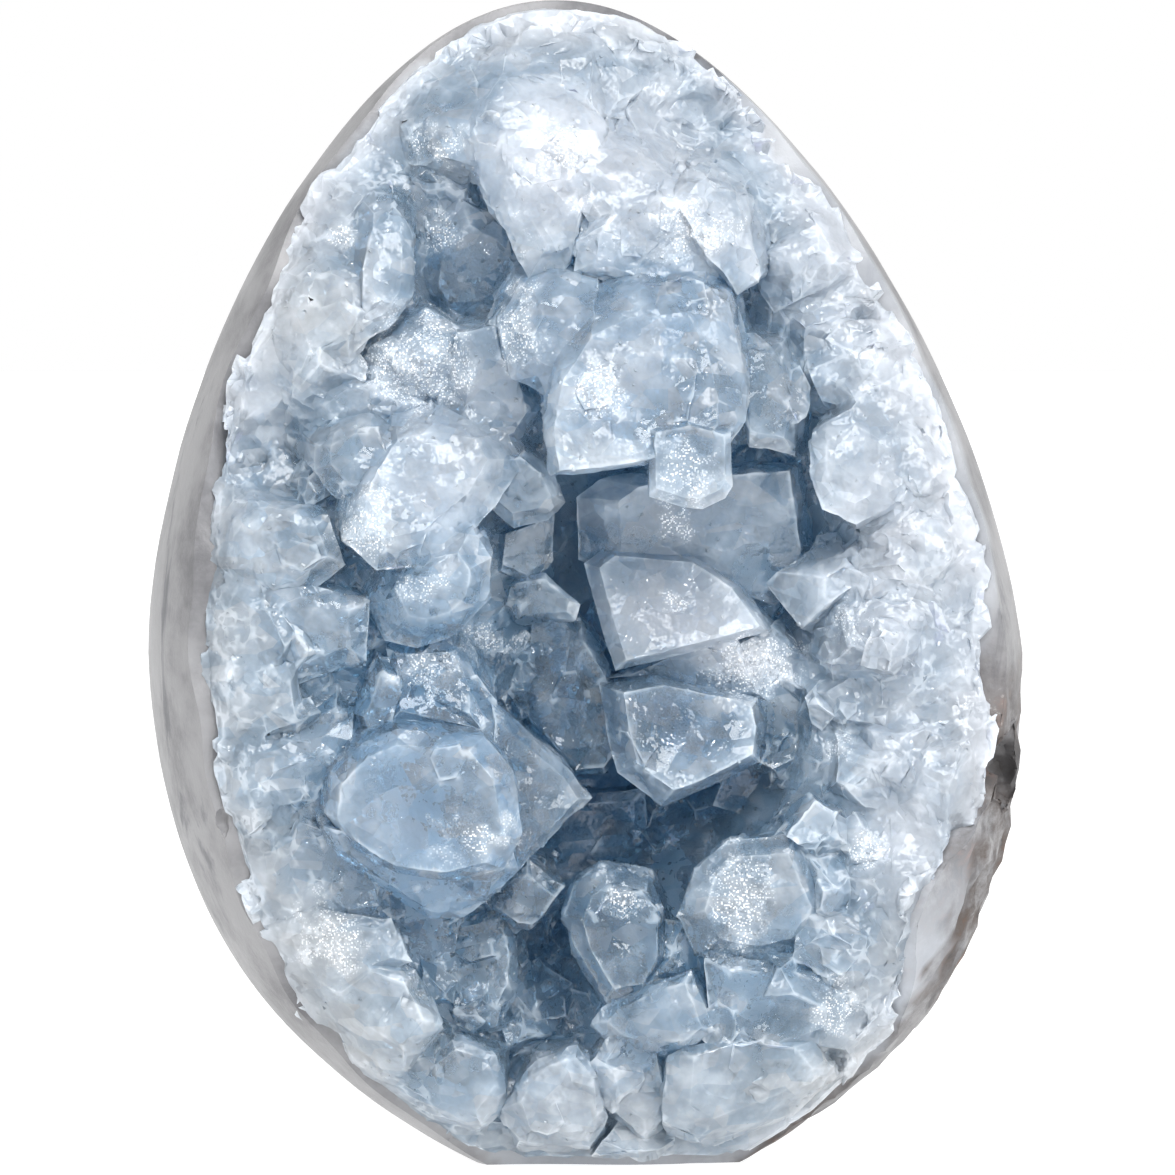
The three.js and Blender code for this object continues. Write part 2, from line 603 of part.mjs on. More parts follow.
// Everything behind a front surface given as forward(x, z).
function behind(forward) {
  const [width, height, back] = [96, 126, 60];
  const geometry = new THREE.BoxGeometry(width, back, height, SHEET_ACROSS, 1, SHEET_UP);
  geometry.translate(-1, back / 2, HEIGHT / 2);
  const places = geometry.attributes.position;
  for (let i = 0; i < places.count; i += 1) {
    if (places.getY(i) < back / 2) {
      places.setY(i, -forward(places.getX(i), places.getZ(i)));
    }
  }
  return solidFrom(geometry);
}

// The corners where three of the given planes meet and no other plane cuts them off.
function cornersOf(planes) {
  const corners = [];
  planes.forEach((a, i) => {
    planes.slice(i + 1).forEach((b, j) => {
      planes.slice(i + j + 2).forEach((c) => {
        const across = new THREE.Vector3().crossVectors(b.normal, c.normal);
        const volume = a.normal.dot(across);
        if (Math.abs(volume) < 1e-6) {
          return;
        }
        const point = across
          .multiplyScalar(a.reach)
          .addScaledVector(new THREE.Vector3().crossVectors(c.normal, a.normal), b.reach)
          .addScaledVector(new THREE.Vector3().crossVectors(a.normal, b.normal), c.reach)
          .divideScalar(volume);
        const inside = planes.every((p) => p.normal.dot(point) < p.reach + 1e-6);
        if (inside && corners.every((other) => other.distanceTo(point) > 1e-3)) {
          corners.push(point);
        }
      });
    });
  });
  return corners;
}

// One small celestite crystal, about 2 across, long in X.
function celestite(random) {
  const planes = new Map();
  FORMS.forEach((form) => {
    SIGNS.forEach((signs) => {
      const [h, k, l] = form.indices.map((index, axis) => index * signs[axis]);
      const name = [h, k, l].map((index) => index + 0).join(' ');
      if (!planes.has(name)) {
        const normal = new THREE.Vector3(h / CELL[0], k / CELL[1], l / CELL[2]).normalize();
        const reach = form.reach * (1 + FACE_SPREAD * (2 * random() - 1));
        planes.set(name, { normal, reach });
      }
    });
  });
  return new ConvexGeometry(cornersOf([...planes.values()]));
}

function middleOf(points) {
  const sum = points.reduce((total, [x, z]) => [total[0] + x, total[1] + z], [0, 0]);
  return sum.map((value) => value / points.length);
}

// A single large crystal: its front face, the side faces round it, and a root sunk in the crust.
function block({ outline, forward, slope, bevel, inset, shift, lean }) {
  const [middleX, middleZ] = middleOf(outline);
  const root = Math.max(3, forward - crustForward(middleX, middleZ)) + ROOT_DEPTH;
  const points = outline.flatMap(([x, z]) => {
    const [dx, dz] = [x - middleX, z - middleZ];
    const [nearX, nearZ] = [dx * (1 - inset) + shift[0], dz * (1 - inset) + shift[1]];
    const near = forward + slope[0] * nearX + slope[1] * nearZ;
    const edge = forward + slope[0] * dx + slope[1] * dz - bevel;
    return [
      new THREE.Vector3(middleX + nearX, -near, middleZ + nearZ),
      new THREE.Vector3(x, -edge, z),
      new THREE.Vector3(x + lean[0], root - edge, z + lean[1]),
    ];
  });
  return solidFrom(new ConvexGeometry(points));
}

function insideOutline(x, z, margin) {
  const wide = (HALF_WIDTH - margin) * fullness(heightShare(z, margin));
  return z > margin && Math.abs(x - leanAt(z)) < wide;
}

function insidePolygon(outline, x, z) {
  let inside = false;
  outline.forEach(([x1, z1], i) => {
    const [x2, z2] = outline[(i + 1) % outline.length];
    if (z1 > z !== z2 > z && x < ((x2 - x1) * (z - z1)) / (z2 - z1) + x1) {
      inside = !inside;
    }
  });
  return inside;
}

// Smaller crystals over the rest of the crust, each tipped its own way.
function bankCrystals() {
  const random = randomFrom(BANK_SEED);
  const crystals = [];
  for (let z = BANK_STEP / 2; z < HEIGHT; z += BANK_STEP) {
    for (let x = -HALF_WIDTH; x < HALF_WIDTH; x += BANK_STEP) {
      const shift = () => BANK_STEP * BANK_JITTER * (2 * random() - 1);
      const [atX, atZ] = [x + shift(), z + shift()];
      const size = THREE.MathUtils.lerp(...BANK_SIZES, random());
      const tips = [random(), random(), random()].map((value) => BANK_TIP * (2 * value - 1));
      const turn = random() * Math.PI;
      const sunk = size * THREE.MathUtils.lerp(...BANK_SUNK, random());
      const crystal = celestite(random);
      const taken = BLOCKS.some(({ outline }) => insidePolygon(outline, atX, atZ));
      if (!insideOutline(atX, atZ, BANK_EDGE) || taken) {
        continue;
      }
      crystal.rotateX(turn);
      crystal.scale(size * BANK_LENGTHEN, size, size);
      crystal.rotateZ(-Math.PI / 2 + tips[0]);
      crystal.rotateX(tips[1]);
      crystal.rotateY(tips[2]);
      crystal.translate(atX, sunk - crustForward(atX, atZ), atZ);
      crystals.push(solidFrom(crystal));
    }
  }
  return crystals;
}

function pits() {
  return joined(
    PITS.map(({ at, radius, stretch }) => {
      const pit = new THREE.SphereGeometry(radius, 7, 5);
      return solidFrom(pit.scale(...stretch).rotateY(0.4).translate(...at));
    }),
  );
}

// The worn egg of rock with its hollow open to the front, or the same grown by a gap all round.
function rock(gap) {
  const rim = behind((x, z) => rimForward(x, z) - dugOut(x, z) + gap);
  const floor = behind((x, z) => crustForward(x, z) - CRUST_THICKNESS + gap);
  return rim.subtract(egg(WALL + gap, 16, 12).subtract(floor));
}

function rockWall() {
  return rock(0).intersect(aboveFoot(egg(0, 32, 22), 0)).subtract(pits());
}

function crystalCrust() {
  const lining = behind(crustForward).intersect(egg(CRUST_INSET, 22, 16));
  const crystals = joined([...BLOCKS.map(block), ...bankCrystals()]);
  const grown = lining.add(crystals.intersect(egg(-CRUST_BUMPS, 16, 14)));
  return aboveFoot(grown, 1).subtract(rock(GAP)).subtract(pits());
}

function piece(name, solid, color, roughness) {
  const finish = { color, roughness, metalness: 0, flatShading: true };
  const material = new THREE.MeshStandardMaterial(finish);
  const mesh = new THREE.Mesh(geometryFrom(solid), material);
  mesh.name = name;
  return mesh;
}

const geode = new THREE.Group();
geode.add(piece('rock_wall', rockWall(), 0xb9b6b4, 0.45));
geode.add(piece('crystal_crust', crystalCrust(), 0xb7c8d8, 0.12));

export default geode;
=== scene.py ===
import math

import bmesh
import bpy
import numpy as np
from mathutils import Euler, Matrix, Vector, bvhtree, kdtree, noise


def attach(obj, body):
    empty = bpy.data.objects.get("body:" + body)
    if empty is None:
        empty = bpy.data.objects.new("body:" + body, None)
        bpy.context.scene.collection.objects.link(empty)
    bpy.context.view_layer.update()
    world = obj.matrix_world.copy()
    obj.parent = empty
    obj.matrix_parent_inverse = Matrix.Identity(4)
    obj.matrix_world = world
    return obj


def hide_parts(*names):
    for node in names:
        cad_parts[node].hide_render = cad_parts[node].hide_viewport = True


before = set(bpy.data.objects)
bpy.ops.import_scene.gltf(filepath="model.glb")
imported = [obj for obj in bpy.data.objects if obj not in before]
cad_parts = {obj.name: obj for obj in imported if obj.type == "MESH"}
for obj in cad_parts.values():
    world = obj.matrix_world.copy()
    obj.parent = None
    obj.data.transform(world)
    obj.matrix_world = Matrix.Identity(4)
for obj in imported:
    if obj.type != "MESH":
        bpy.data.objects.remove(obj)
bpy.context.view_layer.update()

# Rock wall.
# The rock wall is the geode's own matrix, a thick shell of pale grey marl and massive celestite,
# ground and half polished to an egg outside, left rough where it broke, and sawn flat at the foot.
# Sizes and places are in mm and turn into metres where a mesh is made.
MM = 0.001
HEIGHT, WAIST, BURIED = 120, 52.7, 4.3  # the tip, the widest part and what was sawn off the foot
HALF_WIDTH, HALF_DEPTH = 45.2, 38
WALL = 6.5
ROCK_DETAIL = 6
BREAK = 40  # an edge of the rock that turns by more degrees than this stays sharp
ROCK_COLOURS = {
    "pale": (0.29, 0.29, 0.3, 1),
    "grey": (0.14, 0.14, 0.15, 1),
    "streak": (0.1, 0.105, 0.12, 1),
    "brown": (0.095, 0.075, 0.065, 1),
    "lining": (0.62, 0.67, 0.74, 1),
    "red": (0.36, 0.17, 0.11, 1),
    # pit darkens the cracks, and on the notch it is painted shade
    "pit": (0.06, 0.058, 0.06, 1),
    "chip": (0.5, 0.49, 0.48, 1),
}
HOLLOWS = np.array(
    [  # x, z, reach across, reach up, depth
        (1, 39, 15, 13, 20),
        (7, 58, 16, 14, 13),
        (-5, 20, 7, 10, 14),
        (20.5, 67, 4, 8, 7),
        (2, 72, 12, 8, 8),
        (16.5, 82, 6, 8, 9),
        (8.5, 107, 5, 6, 4),
        (-14, 92, 6, 8, 8),
        (-33, 73, 5, 7, 6),
    ],
    float,
)


def fullness(share):
    """How wide the egg is at a share of the way from its waist to its tip (1) or its foot (-1)."""
    far = np.abs(share)
    taper = np.where(share > 0, 0.21 * far**1.3, 0.33 * far**6 - 0.03 * far)
    return np.sqrt(np.clip(1 - share * share, 0, 1)) * (1 - taper)


def lean_at(z):
    """How far the egg's middle line stands to the side at a height."""
    return 1 - 0.047 * z


def height_share(z, inset=0):
    return (z - WAIST) / (np.where(z > WAIST, HEIGHT - WAIST, WAIST + BURIED) - inset)


def humps(x, z, places):
    """Soft round humps on the front, summed. Each has its middle, its reaches and its height."""
    return sum(
        amount * np.exp(-(((x - at_x) / wide) ** 2) - ((z - at_z) / tall) ** 2)
        for at_x, at_z, wide, tall, amount in places
    )


def rim_forward(x, z):
    """How far forward the broken rim of the rock stands."""
    full = np.maximum(0.15, fullness(height_share(z)))
    side = np.clip((x - lean_at(z)) / (HALF_WIDTH * full), -1.1, 1.1)
    to_tip = np.maximum(0, height_share(z))
    share = 0.4 - 0.08 * side - 0.17 * to_tip + humps(x, z, [(36, 26, 12, 9.5, 0.27)])
    wave = np.sin(0.31 * x + 0.2 * z) + np.sin(0.47 * z - 0.23 * x + 1.7)
    return HALF_DEPTH * full * share + 0.45 * wave


def noise_at(places, scale, seed=0, octaves=2):
    """Smooth noise from about -1 to 1 at each place, in features of about scale mm."""
    shift = Vector((seed * 17.3, seed * 5.1, seed * 9.7))
    values = [
        noise.fractal(Vector(p) / scale + shift, 1.0, 2.0, octaves) for p in places.tolist()
    ]
    return np.array(values)


def places_of(mesh):
    places = np.empty(len(mesh.vertices) * 3, np.float32)
    mesh.vertices.foreach_get("co", places)
    return places.reshape(-1, 3).astype(float) / MM


def set_places(mesh, places):
    mesh.vertices.foreach_set("co", (places * MM).astype(np.float32).ravel())
    mesh.update()


def normals_of(mesh):
    normals = np.empty(len(mesh.vertices) * 3, np.float32)
    mesh.vertex_normals.foreach_get("vector", normals)
    return normals.reshape(-1, 3).astype(float)


def new_object(name, places, faces):
    mesh = bpy.data.meshes.new(name)
    mesh.from_pydata((np.asarray(places, float) * MM).tolist(), [], faces)
    thing = bpy.data.objects.new(name, mesh)
    bpy.context.scene.collection.objects.link(thing)
    return thing


def settle(thing):
    """Turns what a piece's modifiers make into its own plain mesh."""
    made = bpy.data.meshes.new_from_object(
        thing.evaluated_get(bpy.context.evaluated_depsgraph_get())
    )
    thing.modifiers.clear()
    thing.data = made
    made.name = thing.name


def cut(thing, other, operation):
    step = thing.modifiers.new("cut", "BOOLEAN")
    step.solver = "MANIFOLD"
    step.operation = operation
    step.object = other
    settle(thing)
    bpy.data.objects.remove(other)


def egg(name, inset, detail):
    shape = bmesh.new()
    bmesh.ops.create_icosphere(shape, subdivisions=detail, radius=1)
    mesh = bpy.data.meshes.new(name)
    shape.to_mesh(mesh)
    shape.free()
    unit = np.empty(len(mesh.vertices) * 3, np.float32)
    mesh.vertices.foreach_get("co", unit)
    unit = unit.reshape(-1, 3).astype(float)
    share = np.clip(unit[:, 2], -1, 1)
    around = np.arctan2(unit[:, 1], unit[:, 0])
    z = WAIST + share * (np.where(share > 0, HEIGHT - WAIST, WAIST + BURIED) - inset)
    full = fullness(share)
    x = lean_at(z) + (HALF_WIDTH - inset) * full * np.cos(around)
    y = (HALF_DEPTH - inset) * full * np.sin(around)
    set_places(mesh, np.stack([x, y, z], 1))
    thing = bpy.data.objects.new(name, mesh)
    bpy.context.scene.collection.objects.link(thing)
    return thing


def behind(name, forward, step=1.0, back=60.0):
    """Everything behind an uneven front, as one closed block."""
    across = np.arange(-50, 48 + step, step)
    up = np.arange(-4, 124 + step, step)
    x, z = np.meshgrid(across, up)
    near = np.stack([x, -forward(x, z), z], -1).reshape(-1, 3)
    far = near.copy()
    far[:, 1] = back
    wide, tall = len(across), len(up)
    count = wide * tall
    faces = []
    for row in range(tall - 1):
        for column in range(wide - 1):
            a = row * wide + column
            faces.append((a, a + 1, a + wide + 1, a + wide))
    edge = [*range(wide)]
    edge += [row * wide + wide - 1 for row in range(1, tall)]
    edge += [(tall - 1) * wide + column for column in range(wide - 2, -1, -1)]
    edge += [row * wide for row in range(tall - 2, 0, -1)]
    far_index = {a: count + i for i, a in enumerate(edge)}
    for a, b in zip(edge, edge[1:] + edge[:1]):
        faces.append((b, a, far_index[a], far_index[b]))
    faces.append([far_index[a] for a in reversed(edge)])
    return new_object(name, np.concatenate([near, far[edge]]), faces)


def block(name, low, high):
    sides = list(zip(low, high))
    corners = [(x, y, z) for x in sides[0] for y in sides[1] for z in sides[2]]
    faces = [(0, 1, 3, 2), (4, 6, 7, 5), (0, 4, 5, 1), (2, 3, 7, 6), (0, 2, 6, 4), (1, 5, 7, 3)]
    return new_object(name, corners, faces)


BROKEN = [(40, 30, 9, 16, 1), (20, 4, 18, 5, 0.5), (44, 44, 6, 5, 0.6)]
rock = egg("rock_shell", 0, ROCK_DETAIL)
places = places_of(rock.data)
rough = humps(places[:, 0], places[:, 2], BROKEN)
rough = np.clip(rough * (places[:, 1] < 6), 0, 1)
worn = 0.25 + 0.25 * noise_at(places, 14, seed=1)
chipped = np.abs(noise_at(places, 5, seed=2, octaves=4)) * 1.8 * rough
lost = np.clip(worn * 0.6 + chipped * 0.6 - 0.1, 0.02, 1.8)
places -= normals_of(rock.data) * lost[:, None]
set_places(rock.data, places)
cut(rock, block("ground", (-90, -90, -30), (90, 90, 0)), "DIFFERENCE")


def open_front(x, z):
    """How far forward the rock reaches, its rim outside and the floors of the hollows inside."""
    return rim_forward(x, z) - humps(x, z, HOLLOWS)


BED = 5.4  # thickness of the rock below the floors of the hollows
cut(rock, behind("front", open_front), "INTERSECT")
inner = egg("inner", WALL, 5)
cut(inner, behind("floor", lambda x, z: open_front(x, z) - BED, step=2.0), "DIFFERENCE")
cut(rock, inner, "DIFFERENCE")
PITS = [  # x, y, z, half sizes along x, y and z
    (42.5, -9, 41, 3.6, 4.5, 4.2),
    (42.5, -14, 32, 2.4, 2.8, 4.0),
    (-39.4, -19.5, 36.5, 2.2, 2.4, 2.6),
    (-36.5, -18.5, 27, 1.5, 1.9, 3.0),
    (14, 36.5, 62, 3.6, 2.0, 2.4),
    (-20, 30.5, 30, 2.0, 1.8, 3.1),
    (40.5, 9, 60, 1.6, 1.4, 1.2),
    (-43, 8, 62, 1.4, 1.6, 1.2),
    (-30, 24, 88, 1.2, 1.2, 1.6),
]
for number, (x, y, z, wide, deep, tall) in enumerate(PITS):
    pit = egg(f"pit {number}", 0, 4)
    unit = places_of(pit.data)
    unit = (unit - unit.mean(0)) / (np.array([HALF_WIDTH, HALF_DEPTH, 60]))
    unit *= (1 + 0.35 * noise_at(unit, 0.7, seed=number + 3, octaves=3))[:, None]
    set_places(pit.data, unit * (wide, deep, tall) + (x, y, z))
    cut(rock, pit, "DIFFERENCE")
# The broken foot on the right is gritty, and the rock keeps behind the crystals beside it.
places = places_of(rock.data)
x, z = places[:, 0], places[:, 2]
rough = humps(x, z, [(42, 31, 10, 17, 1), (27, 8, 15, 7, 0.8)]) * (places[:, 1] < 8)
grit = np.abs(noise_at(places, 4.5, seed=45, octaves=4)) * 1.4
grit += np.abs(noise_at(places, 1.8, seed=46, octaves=1)) * 0.5
places -= normals_of(rock.data) * (grit * np.clip(rough, 0, 1))[:, None]
places[:, 1] += humps(x, z, [(28.5, 26, 3, 3, 1.2)]) * (places[:, 1] < 5)
places[:, 2] = np.maximum(places[:, 2], 0)
set_places(rock.data, places)
round_share = fullness(height_share(places[:, 2]))
middle = np.hypot((places[:, 0] - lean_at(places[:, 2])) / HALF_WIDTH, places[:, 1] / HALF_DEPTH)
middle /= np.maximum(0.1, round_share)
# White celestite lines the hollow, and right of the top and low on the right it reaches the rim.
inside = rock.data.attributes.new("inside", "FLOAT", "POINT")
x, y, z = places.T
right_top = np.clip((x - 4) / 8, 0, 1) * np.clip((z - 50) / 10, 0, 1)
left_top = np.clip((-x - 4) / 8, 0, 1) * np.clip((z - 84) / 10, 0, 1)
right_foot = humps(x, z, [(36, 19, 16, 14, 1)])
fresh = 0.1 * right_foot + 0.13 * right_top + 0.07 * left_top
fresh *= np.clip((2.2 - y - rim_forward(x, z)) / 1.5, 0, 1)
worn_edge = 0.91 + 0.03 * noise_at(places, 3, seed=47, octaves=3)
within = np.clip((worn_edge - middle) / 0.04, 0, 1) * (z > 5)
at_rim = np.clip((worn_edge + fresh - middle) / 0.04, 0, 1) * (0.3 + 0.35 * right_foot)
uneven_edge = 3 * noise_at(places, 4, seed=49, octaves=3)
sugared = 0.6 * right_foot * np.clip((uneven_edge - 12 - y) / 3, 0, 1)
within = np.maximum(np.maximum(within, at_rim), sugared) * (z < 113)
inside.data.foreach_set("value", within.astype(np.float32))
for face in rock.data.polygons:
    face.use_smooth = True
rock.data.set_sharp_from_angle(angle=math.radians(BREAK))


class Value:
    """A socket of a material that takes part in sums."""

    def __init__(self, tree, socket):
        self.tree, self.socket = tree, socket

    def maths(self, operation, *values):
        return node(self.tree, "ShaderNodeMath", {"operation": operation}, dict(enumerate(values)))

    def __add__(self, other):
        return self.maths("ADD", self, other)

    def __sub__(self, other):
        return self.maths("SUBTRACT", self, other)

    def __rsub__(self, other):
        return self.maths("SUBTRACT", other, self)

    def __mul__(self, other):
        return self.maths("MULTIPLY", self, other)

    __radd__ = __add__
    __rmul__ = __mul__

    def between(self, low, high):
        """0 below low and 1 above high, with a soft step from one to the other."""
        settings = {"interpolation_type": "SMOOTHSTEP"}
        return node(self.tree, "ShaderNodeMapRange", settings, {"Value": self, 1: low, 2: high})


def node(tree, kind, settings=None, values=None, out=0):
    """A node of a material, its settings made first, then its sockets' values or links."""
    made = tree.nodes.new(kind)
    for name, setting in (settings or {}).items():
        setattr(made, name, setting)
    for name, value in (values or {}).items():
        socket = made.inputs[name]
        if isinstance(value, Value):
            tree.links.new(value.socket, socket)
        else:
            socket.default_value = value
    return Value(tree, made.outputs[out]) if made.outputs else made


def mix(tree, share, first, second):
    return node(tree, "ShaderNodeMix", {"data_type": "RGBA"}, {0: share, 6: first, 7: second}, 2)


def clouds(tree, place, scale, detail, roughness, **more):
    """A noise texture, and its values from about 0.3 to 0.7."""
    values = {"Vector": place, "Scale": scale, "Detail": detail, "Roughness": roughness, **more}
    return node(tree, "ShaderNodeTexNoise", {}, values)


def new_material(name):
    material = bpy.data.materials.new(name)
    material.use_nodes = True
    material.node_tree.nodes.clear()
    return material, material.node_tree


def spot(tree, x, z, wide, tall, place):
    """A soft round mask on the front of the geode, 1 in its middle."""
    middle = (-x * MM / (wide * MM), 0, -z * MM / (tall * MM))
    scaled = node(
        tree,
        "ShaderNodeMapping",
        {},
        {"Vector": place, "Location": middle, "Scale": (1 / (wide * MM), 0, 1 / (tall * MM))},
    )
    distance = node(tree, "ShaderNodeVectorMath", {"operation": "LENGTH"}, {0: scaled}, 1)
    return 1 - distance.between(0.35, 1.25)


stone, tree = new_material("geode rock")
place = node(tree, "ShaderNodeTexCoord", out=3)
parts = node(tree, "ShaderNodeSeparateXYZ", {}, {0: place})
east, back, up = (Value(tree, output) for output in parts.socket.node.outputs)
cloud = clouds(tree, place, 70, 6, 0.6)
fine = clouds(tree, place, 420, 5, 0.7)
lying = {"Vector": place, "Scale": (1, 1, 0.32), "Rotation": (0.2, 0.35, 0)}
stretched = node(tree, "ShaderNodeMapping", {}, lying)
veins = clouds(tree, stretched, 120, 7, 0.65, Distortion=0.8)
colour = mix(tree, cloud.between(0.38, 0.62), ROCK_COLOURS["pale"], ROCK_COLOURS["grey"])
colour = mix(tree, fine.between(0.35, 0.75) * 0.5, colour, ROCK_COLOURS["pale"])
colour = mix(tree, veins.between(0.57, 0.68) * 0.7, colour, ROCK_COLOURS["streak"])
broken = spot(tree, 43, 30, 17, 24, place) * (1 - back.between(-0.004, 0.006))
under = (1 - up.between(0.004, 0.014)) * (1 - back.between(-0.008, 0.01))
brown = broken.maths("MAXIMUM", broken, under * east.between(0.002, 0.02) * 0.8)
brown_cloud = clouds(tree, place, 160, 6, 0.7)
brown = brown * brown_cloud.between(0.3, 0.6)
colour = mix(tree, brown, colour, ROCK_COLOURS["brown"])
colour = mix(tree, brown * brown_cloud.between(0.55, 0.7) * 0.4, colour, ROCK_COLOURS["red"])
cracks = brown * (1 - fine.between(0.36, 0.5))
colour = mix(tree, cracks * 0.75, colour, ROCK_COLOURS["pit"])
chips = brown * fine.between(0.6, 0.68) * cloud.between(0.45, 0.6)
colour = mix(tree, chips * 0.7, colour, ROCK_COLOURS["chip"])
# The notch low on the right is painted nearly black, painted shade that deepens the pit there.
notch = spot(tree, 43, 41, 5, 4, place) * (1 - back.between(-0.006, 0.004))
colour = mix(tree, notch * cloud.between(0.35, 0.5) * 0.85, colour, ROCK_COLOURS["pit"])
lining = node(tree, "ShaderNodeAttribute", {"attribute_name": "inside"}, out=2) * (1 - notch)
colour = mix(tree, lining, colour, ROCK_COLOURS["lining"])
height = fine * 0.6 + veins * 0.4
bump = node(tree, "ShaderNodeBump", {}, {"Height": height, "Strength": 0.35, "Distance": 0.0006})
finish = node(
    tree,
    "ShaderNodeBsdfPrincipled",
    {},
    {
        "Base Color": colour,
        "Roughness": 0.34 + brown * 0.4 + veins.between(0.55, 0.7) * 0.15,
        "Normal": bump,
    },
)
node(tree, "ShaderNodeOutputMaterial", {}, {0: finish})
rock.data.materials.clear()
rock.data.materials.append(stone)
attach(rock, "root")
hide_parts("rock_wall")

# Crystal crust.
# The crust is celestite that grew inwards from the wall, clear blocky crystals fused at their
# roots. The large ones stand by themselves round the hollow and hang over it.
CLEAR = 0.9
REFRACTION = 1.62
MOST_MILKY = 0.92
PROUD = 1.6  # how far the crust's own front stands before the rock's rim
CELL = np.array([8.36, 5.35, 6.87])  # the mineral's cell, which sets the angles of its faces
REACHES = [((0, 0, 1), 0.62), ((2, 1, 0), 0.8), ((0, 1, 1), 0.86)]


def celestite(draw, spread=0.2):
    """Corners of one crystal about 2 across: the body inside its basal, prism and dome faces."""
    planes = []
    for (h, k, l), reach in REACHES:
        both = (1, -1)
        alike = {(h * a, k * b, l * c) for a in both for b in both for c in both}
        for indices in sorted(alike):
            normal = np.array(indices) / CELL
            far = reach * draw.uniform(1 - spread, 1 + spread)
            planes.append((normal / np.linalg.norm(normal), far))
    corners = []
    for i, (a, far_a) in enumerate(planes):
        for j, (b, far_b) in enumerate(planes[:i]):
            for c, far_c in planes[:j]:
                if abs(np.linalg.det([a, b, c])) < 1e-6:
                    continue
                corner = np.linalg.solve([a, b, c], [far_a, far_b, far_c])
                if all(n @ corner < far + 1e-6 for n, far in planes):
                    corners.append(corner)
    return np.array(corners)


def add_hull(shape, corners):
    """Adds the closed solid round a few corners to a mesh in the making."""
    made = [shape.verts.new(corner) for corner in corners.tolist()]
    hull = bmesh.ops.convex_hull(shape, input=made)
    spare = {v for key in ("geom_interior", "geom_unused") for v in hull[key]}
    spare |= {v for v in made if not v.link_faces}
    spare = [v for v in spare if isinstance(v, bmesh.types.BMVert)]
    bmesh.ops.delete(shape, geom=spare, context="VERTS")


def spread_over(thing, apart, allowed, seed):
    """Places on a surface at least so far apart, each with the surface's own direction there."""
    draw = np.random.default_rng(seed)
    thing.data.calc_loop_triangles()
    faces = np.empty(len(thing.data.loop_triangles) * 3, np.int32)
    thing.data.loop_triangles.foreach_get("vertices", faces)
    corners = places_of(thing.data)[faces.reshape(-1, 3)]
    normals = np.cross(corners[:, 1] - corners[:, 0], corners[:, 2] - corners[:, 0])
    areas = np.linalg.norm(normals, axis=1)
    normals /= np.maximum(areas, 1e-9)[:, None]
    count = int(areas.sum() / 2 / apart**2 * 6)
    picks = draw.choice(len(areas), count, p=areas / areas.sum())
    a, b = np.sqrt(draw.random(count)), draw.random(count)
    shares = np.stack([1 - a, a * (1 - b), a * b], 1)
    places = (corners[picks] * shares[:, :, None]).sum(1)
    keep = (draw.random(count) < allowed(places, normals[picks]))
    chosen, grid = [], {}
    for i in np.flatnonzero(keep):
        cell = tuple((places[i] // apart).astype(int))
        near = [
            j
            for dx in (-1, 0, 1)
            for dy in (-1, 0, 1)
            for dz in (-1, 0, 1)
            for j in grid.get((cell[0] + dx, cell[1] + dy, cell[2] + dz), ())
        ]
        if all(np.linalg.norm(places[i] - places[j]) > apart for j in near):
            grid.setdefault(cell, []).append(i)
            chosen.append(i)
    return places[chosen], normals[picks][chosen], draw


def out_share(x, z):
    """How far out a place on the front is, from 0 on the middle line to 1 on the outline."""
    return np.abs(x - lean_at(z)) / (HALF_WIDTH * np.maximum(0.1, fullness(height_share(z))))


def proud_of(places):
    """How far each place stands before the banks and the floors of the hollows."""
    x, z = places[:, 0], places[:, 2]
    return -places[:, 1] - (open_front(x, z) + PROUD)


def fuse(thing, apart, allowed, seed, sizes, shows, tip, most, flat=False):
    """Fuses crystals to a surface, so deep that each shows by only so much.

    Tip is how far they lean, and no corner may stand out by more than most. Flat ones lie with
    their basal face outwards, as growth steps do. They are joined in batches that don't touch.
    """
    places, normals, draw = spread_over(thing, apart, allowed, seed)
    faces = [face.vertices[:] for face in thing.data.polygons]
    bare = bvhtree.BVHTree.FromPolygons(places_of(thing.data).tolist(), faces)
    batches = []
    for place, normal in zip(places, normals):
        size = draw.uniform(*sizes)
        corners = celestite(draw) * size
        axis = Vector(normal).to_track_quat("Z" if flat else "X", "Y")
        turn = axis.to_matrix() @ Matrix.Rotation(draw.uniform(0, 6.28), 3, "Z" if flat else "X")
        turn = turn @ Euler(draw.uniform(-tip, tip, 3)).to_matrix()
        corners = corners @ np.array(turn).T
        reach = (corners @ normal).max()
        corners += place + normal * (draw.uniform(*shows) - reach)
        found = [(corner, bare.find_nearest(corner)) for corner in corners.tolist()]
        if max((Vector(corner) - near[0]).dot(near[1]) for corner, near in found) > most:
            continue
        low, high = corners.min(0) - 0.05, corners.max(0) + 0.05
        for boxes, solids in batches:
            if all(np.any(low > top) or np.any(high < bottom) for bottom, top in boxes):
                break
        else:
            boxes, solids = [], []
            batches.append((boxes, solids))
        boxes.append((low, high))
        solids.append(corners)
    for _, solids in batches:
        shape = bmesh.new()
        for corners in solids:
            add_hull(shape, corners * MM)
        bmesh.ops.recalc_face_normals(shape, faces=shape.faces)
        mesh = bpy.data.meshes.new("batch")
        shape.to_mesh(mesh)
        shape.free()
        batch = bpy.data.objects.new("batch", mesh)
        bpy.context.scene.collection.objects.link(batch)
        cut(thing, batch, "UNION")


crust = bpy.data.objects.new("crust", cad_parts["crystal_crust"].data.copy())
bpy.context.scene.collection.objects.link(crust)
shape = bmesh.new()
shape.from_mesh(crust.data)
bmesh.ops.remove_doubles(shape, verts=shape.verts, dist=1e-6)
shape.to_mesh(crust.data)
shape.free()


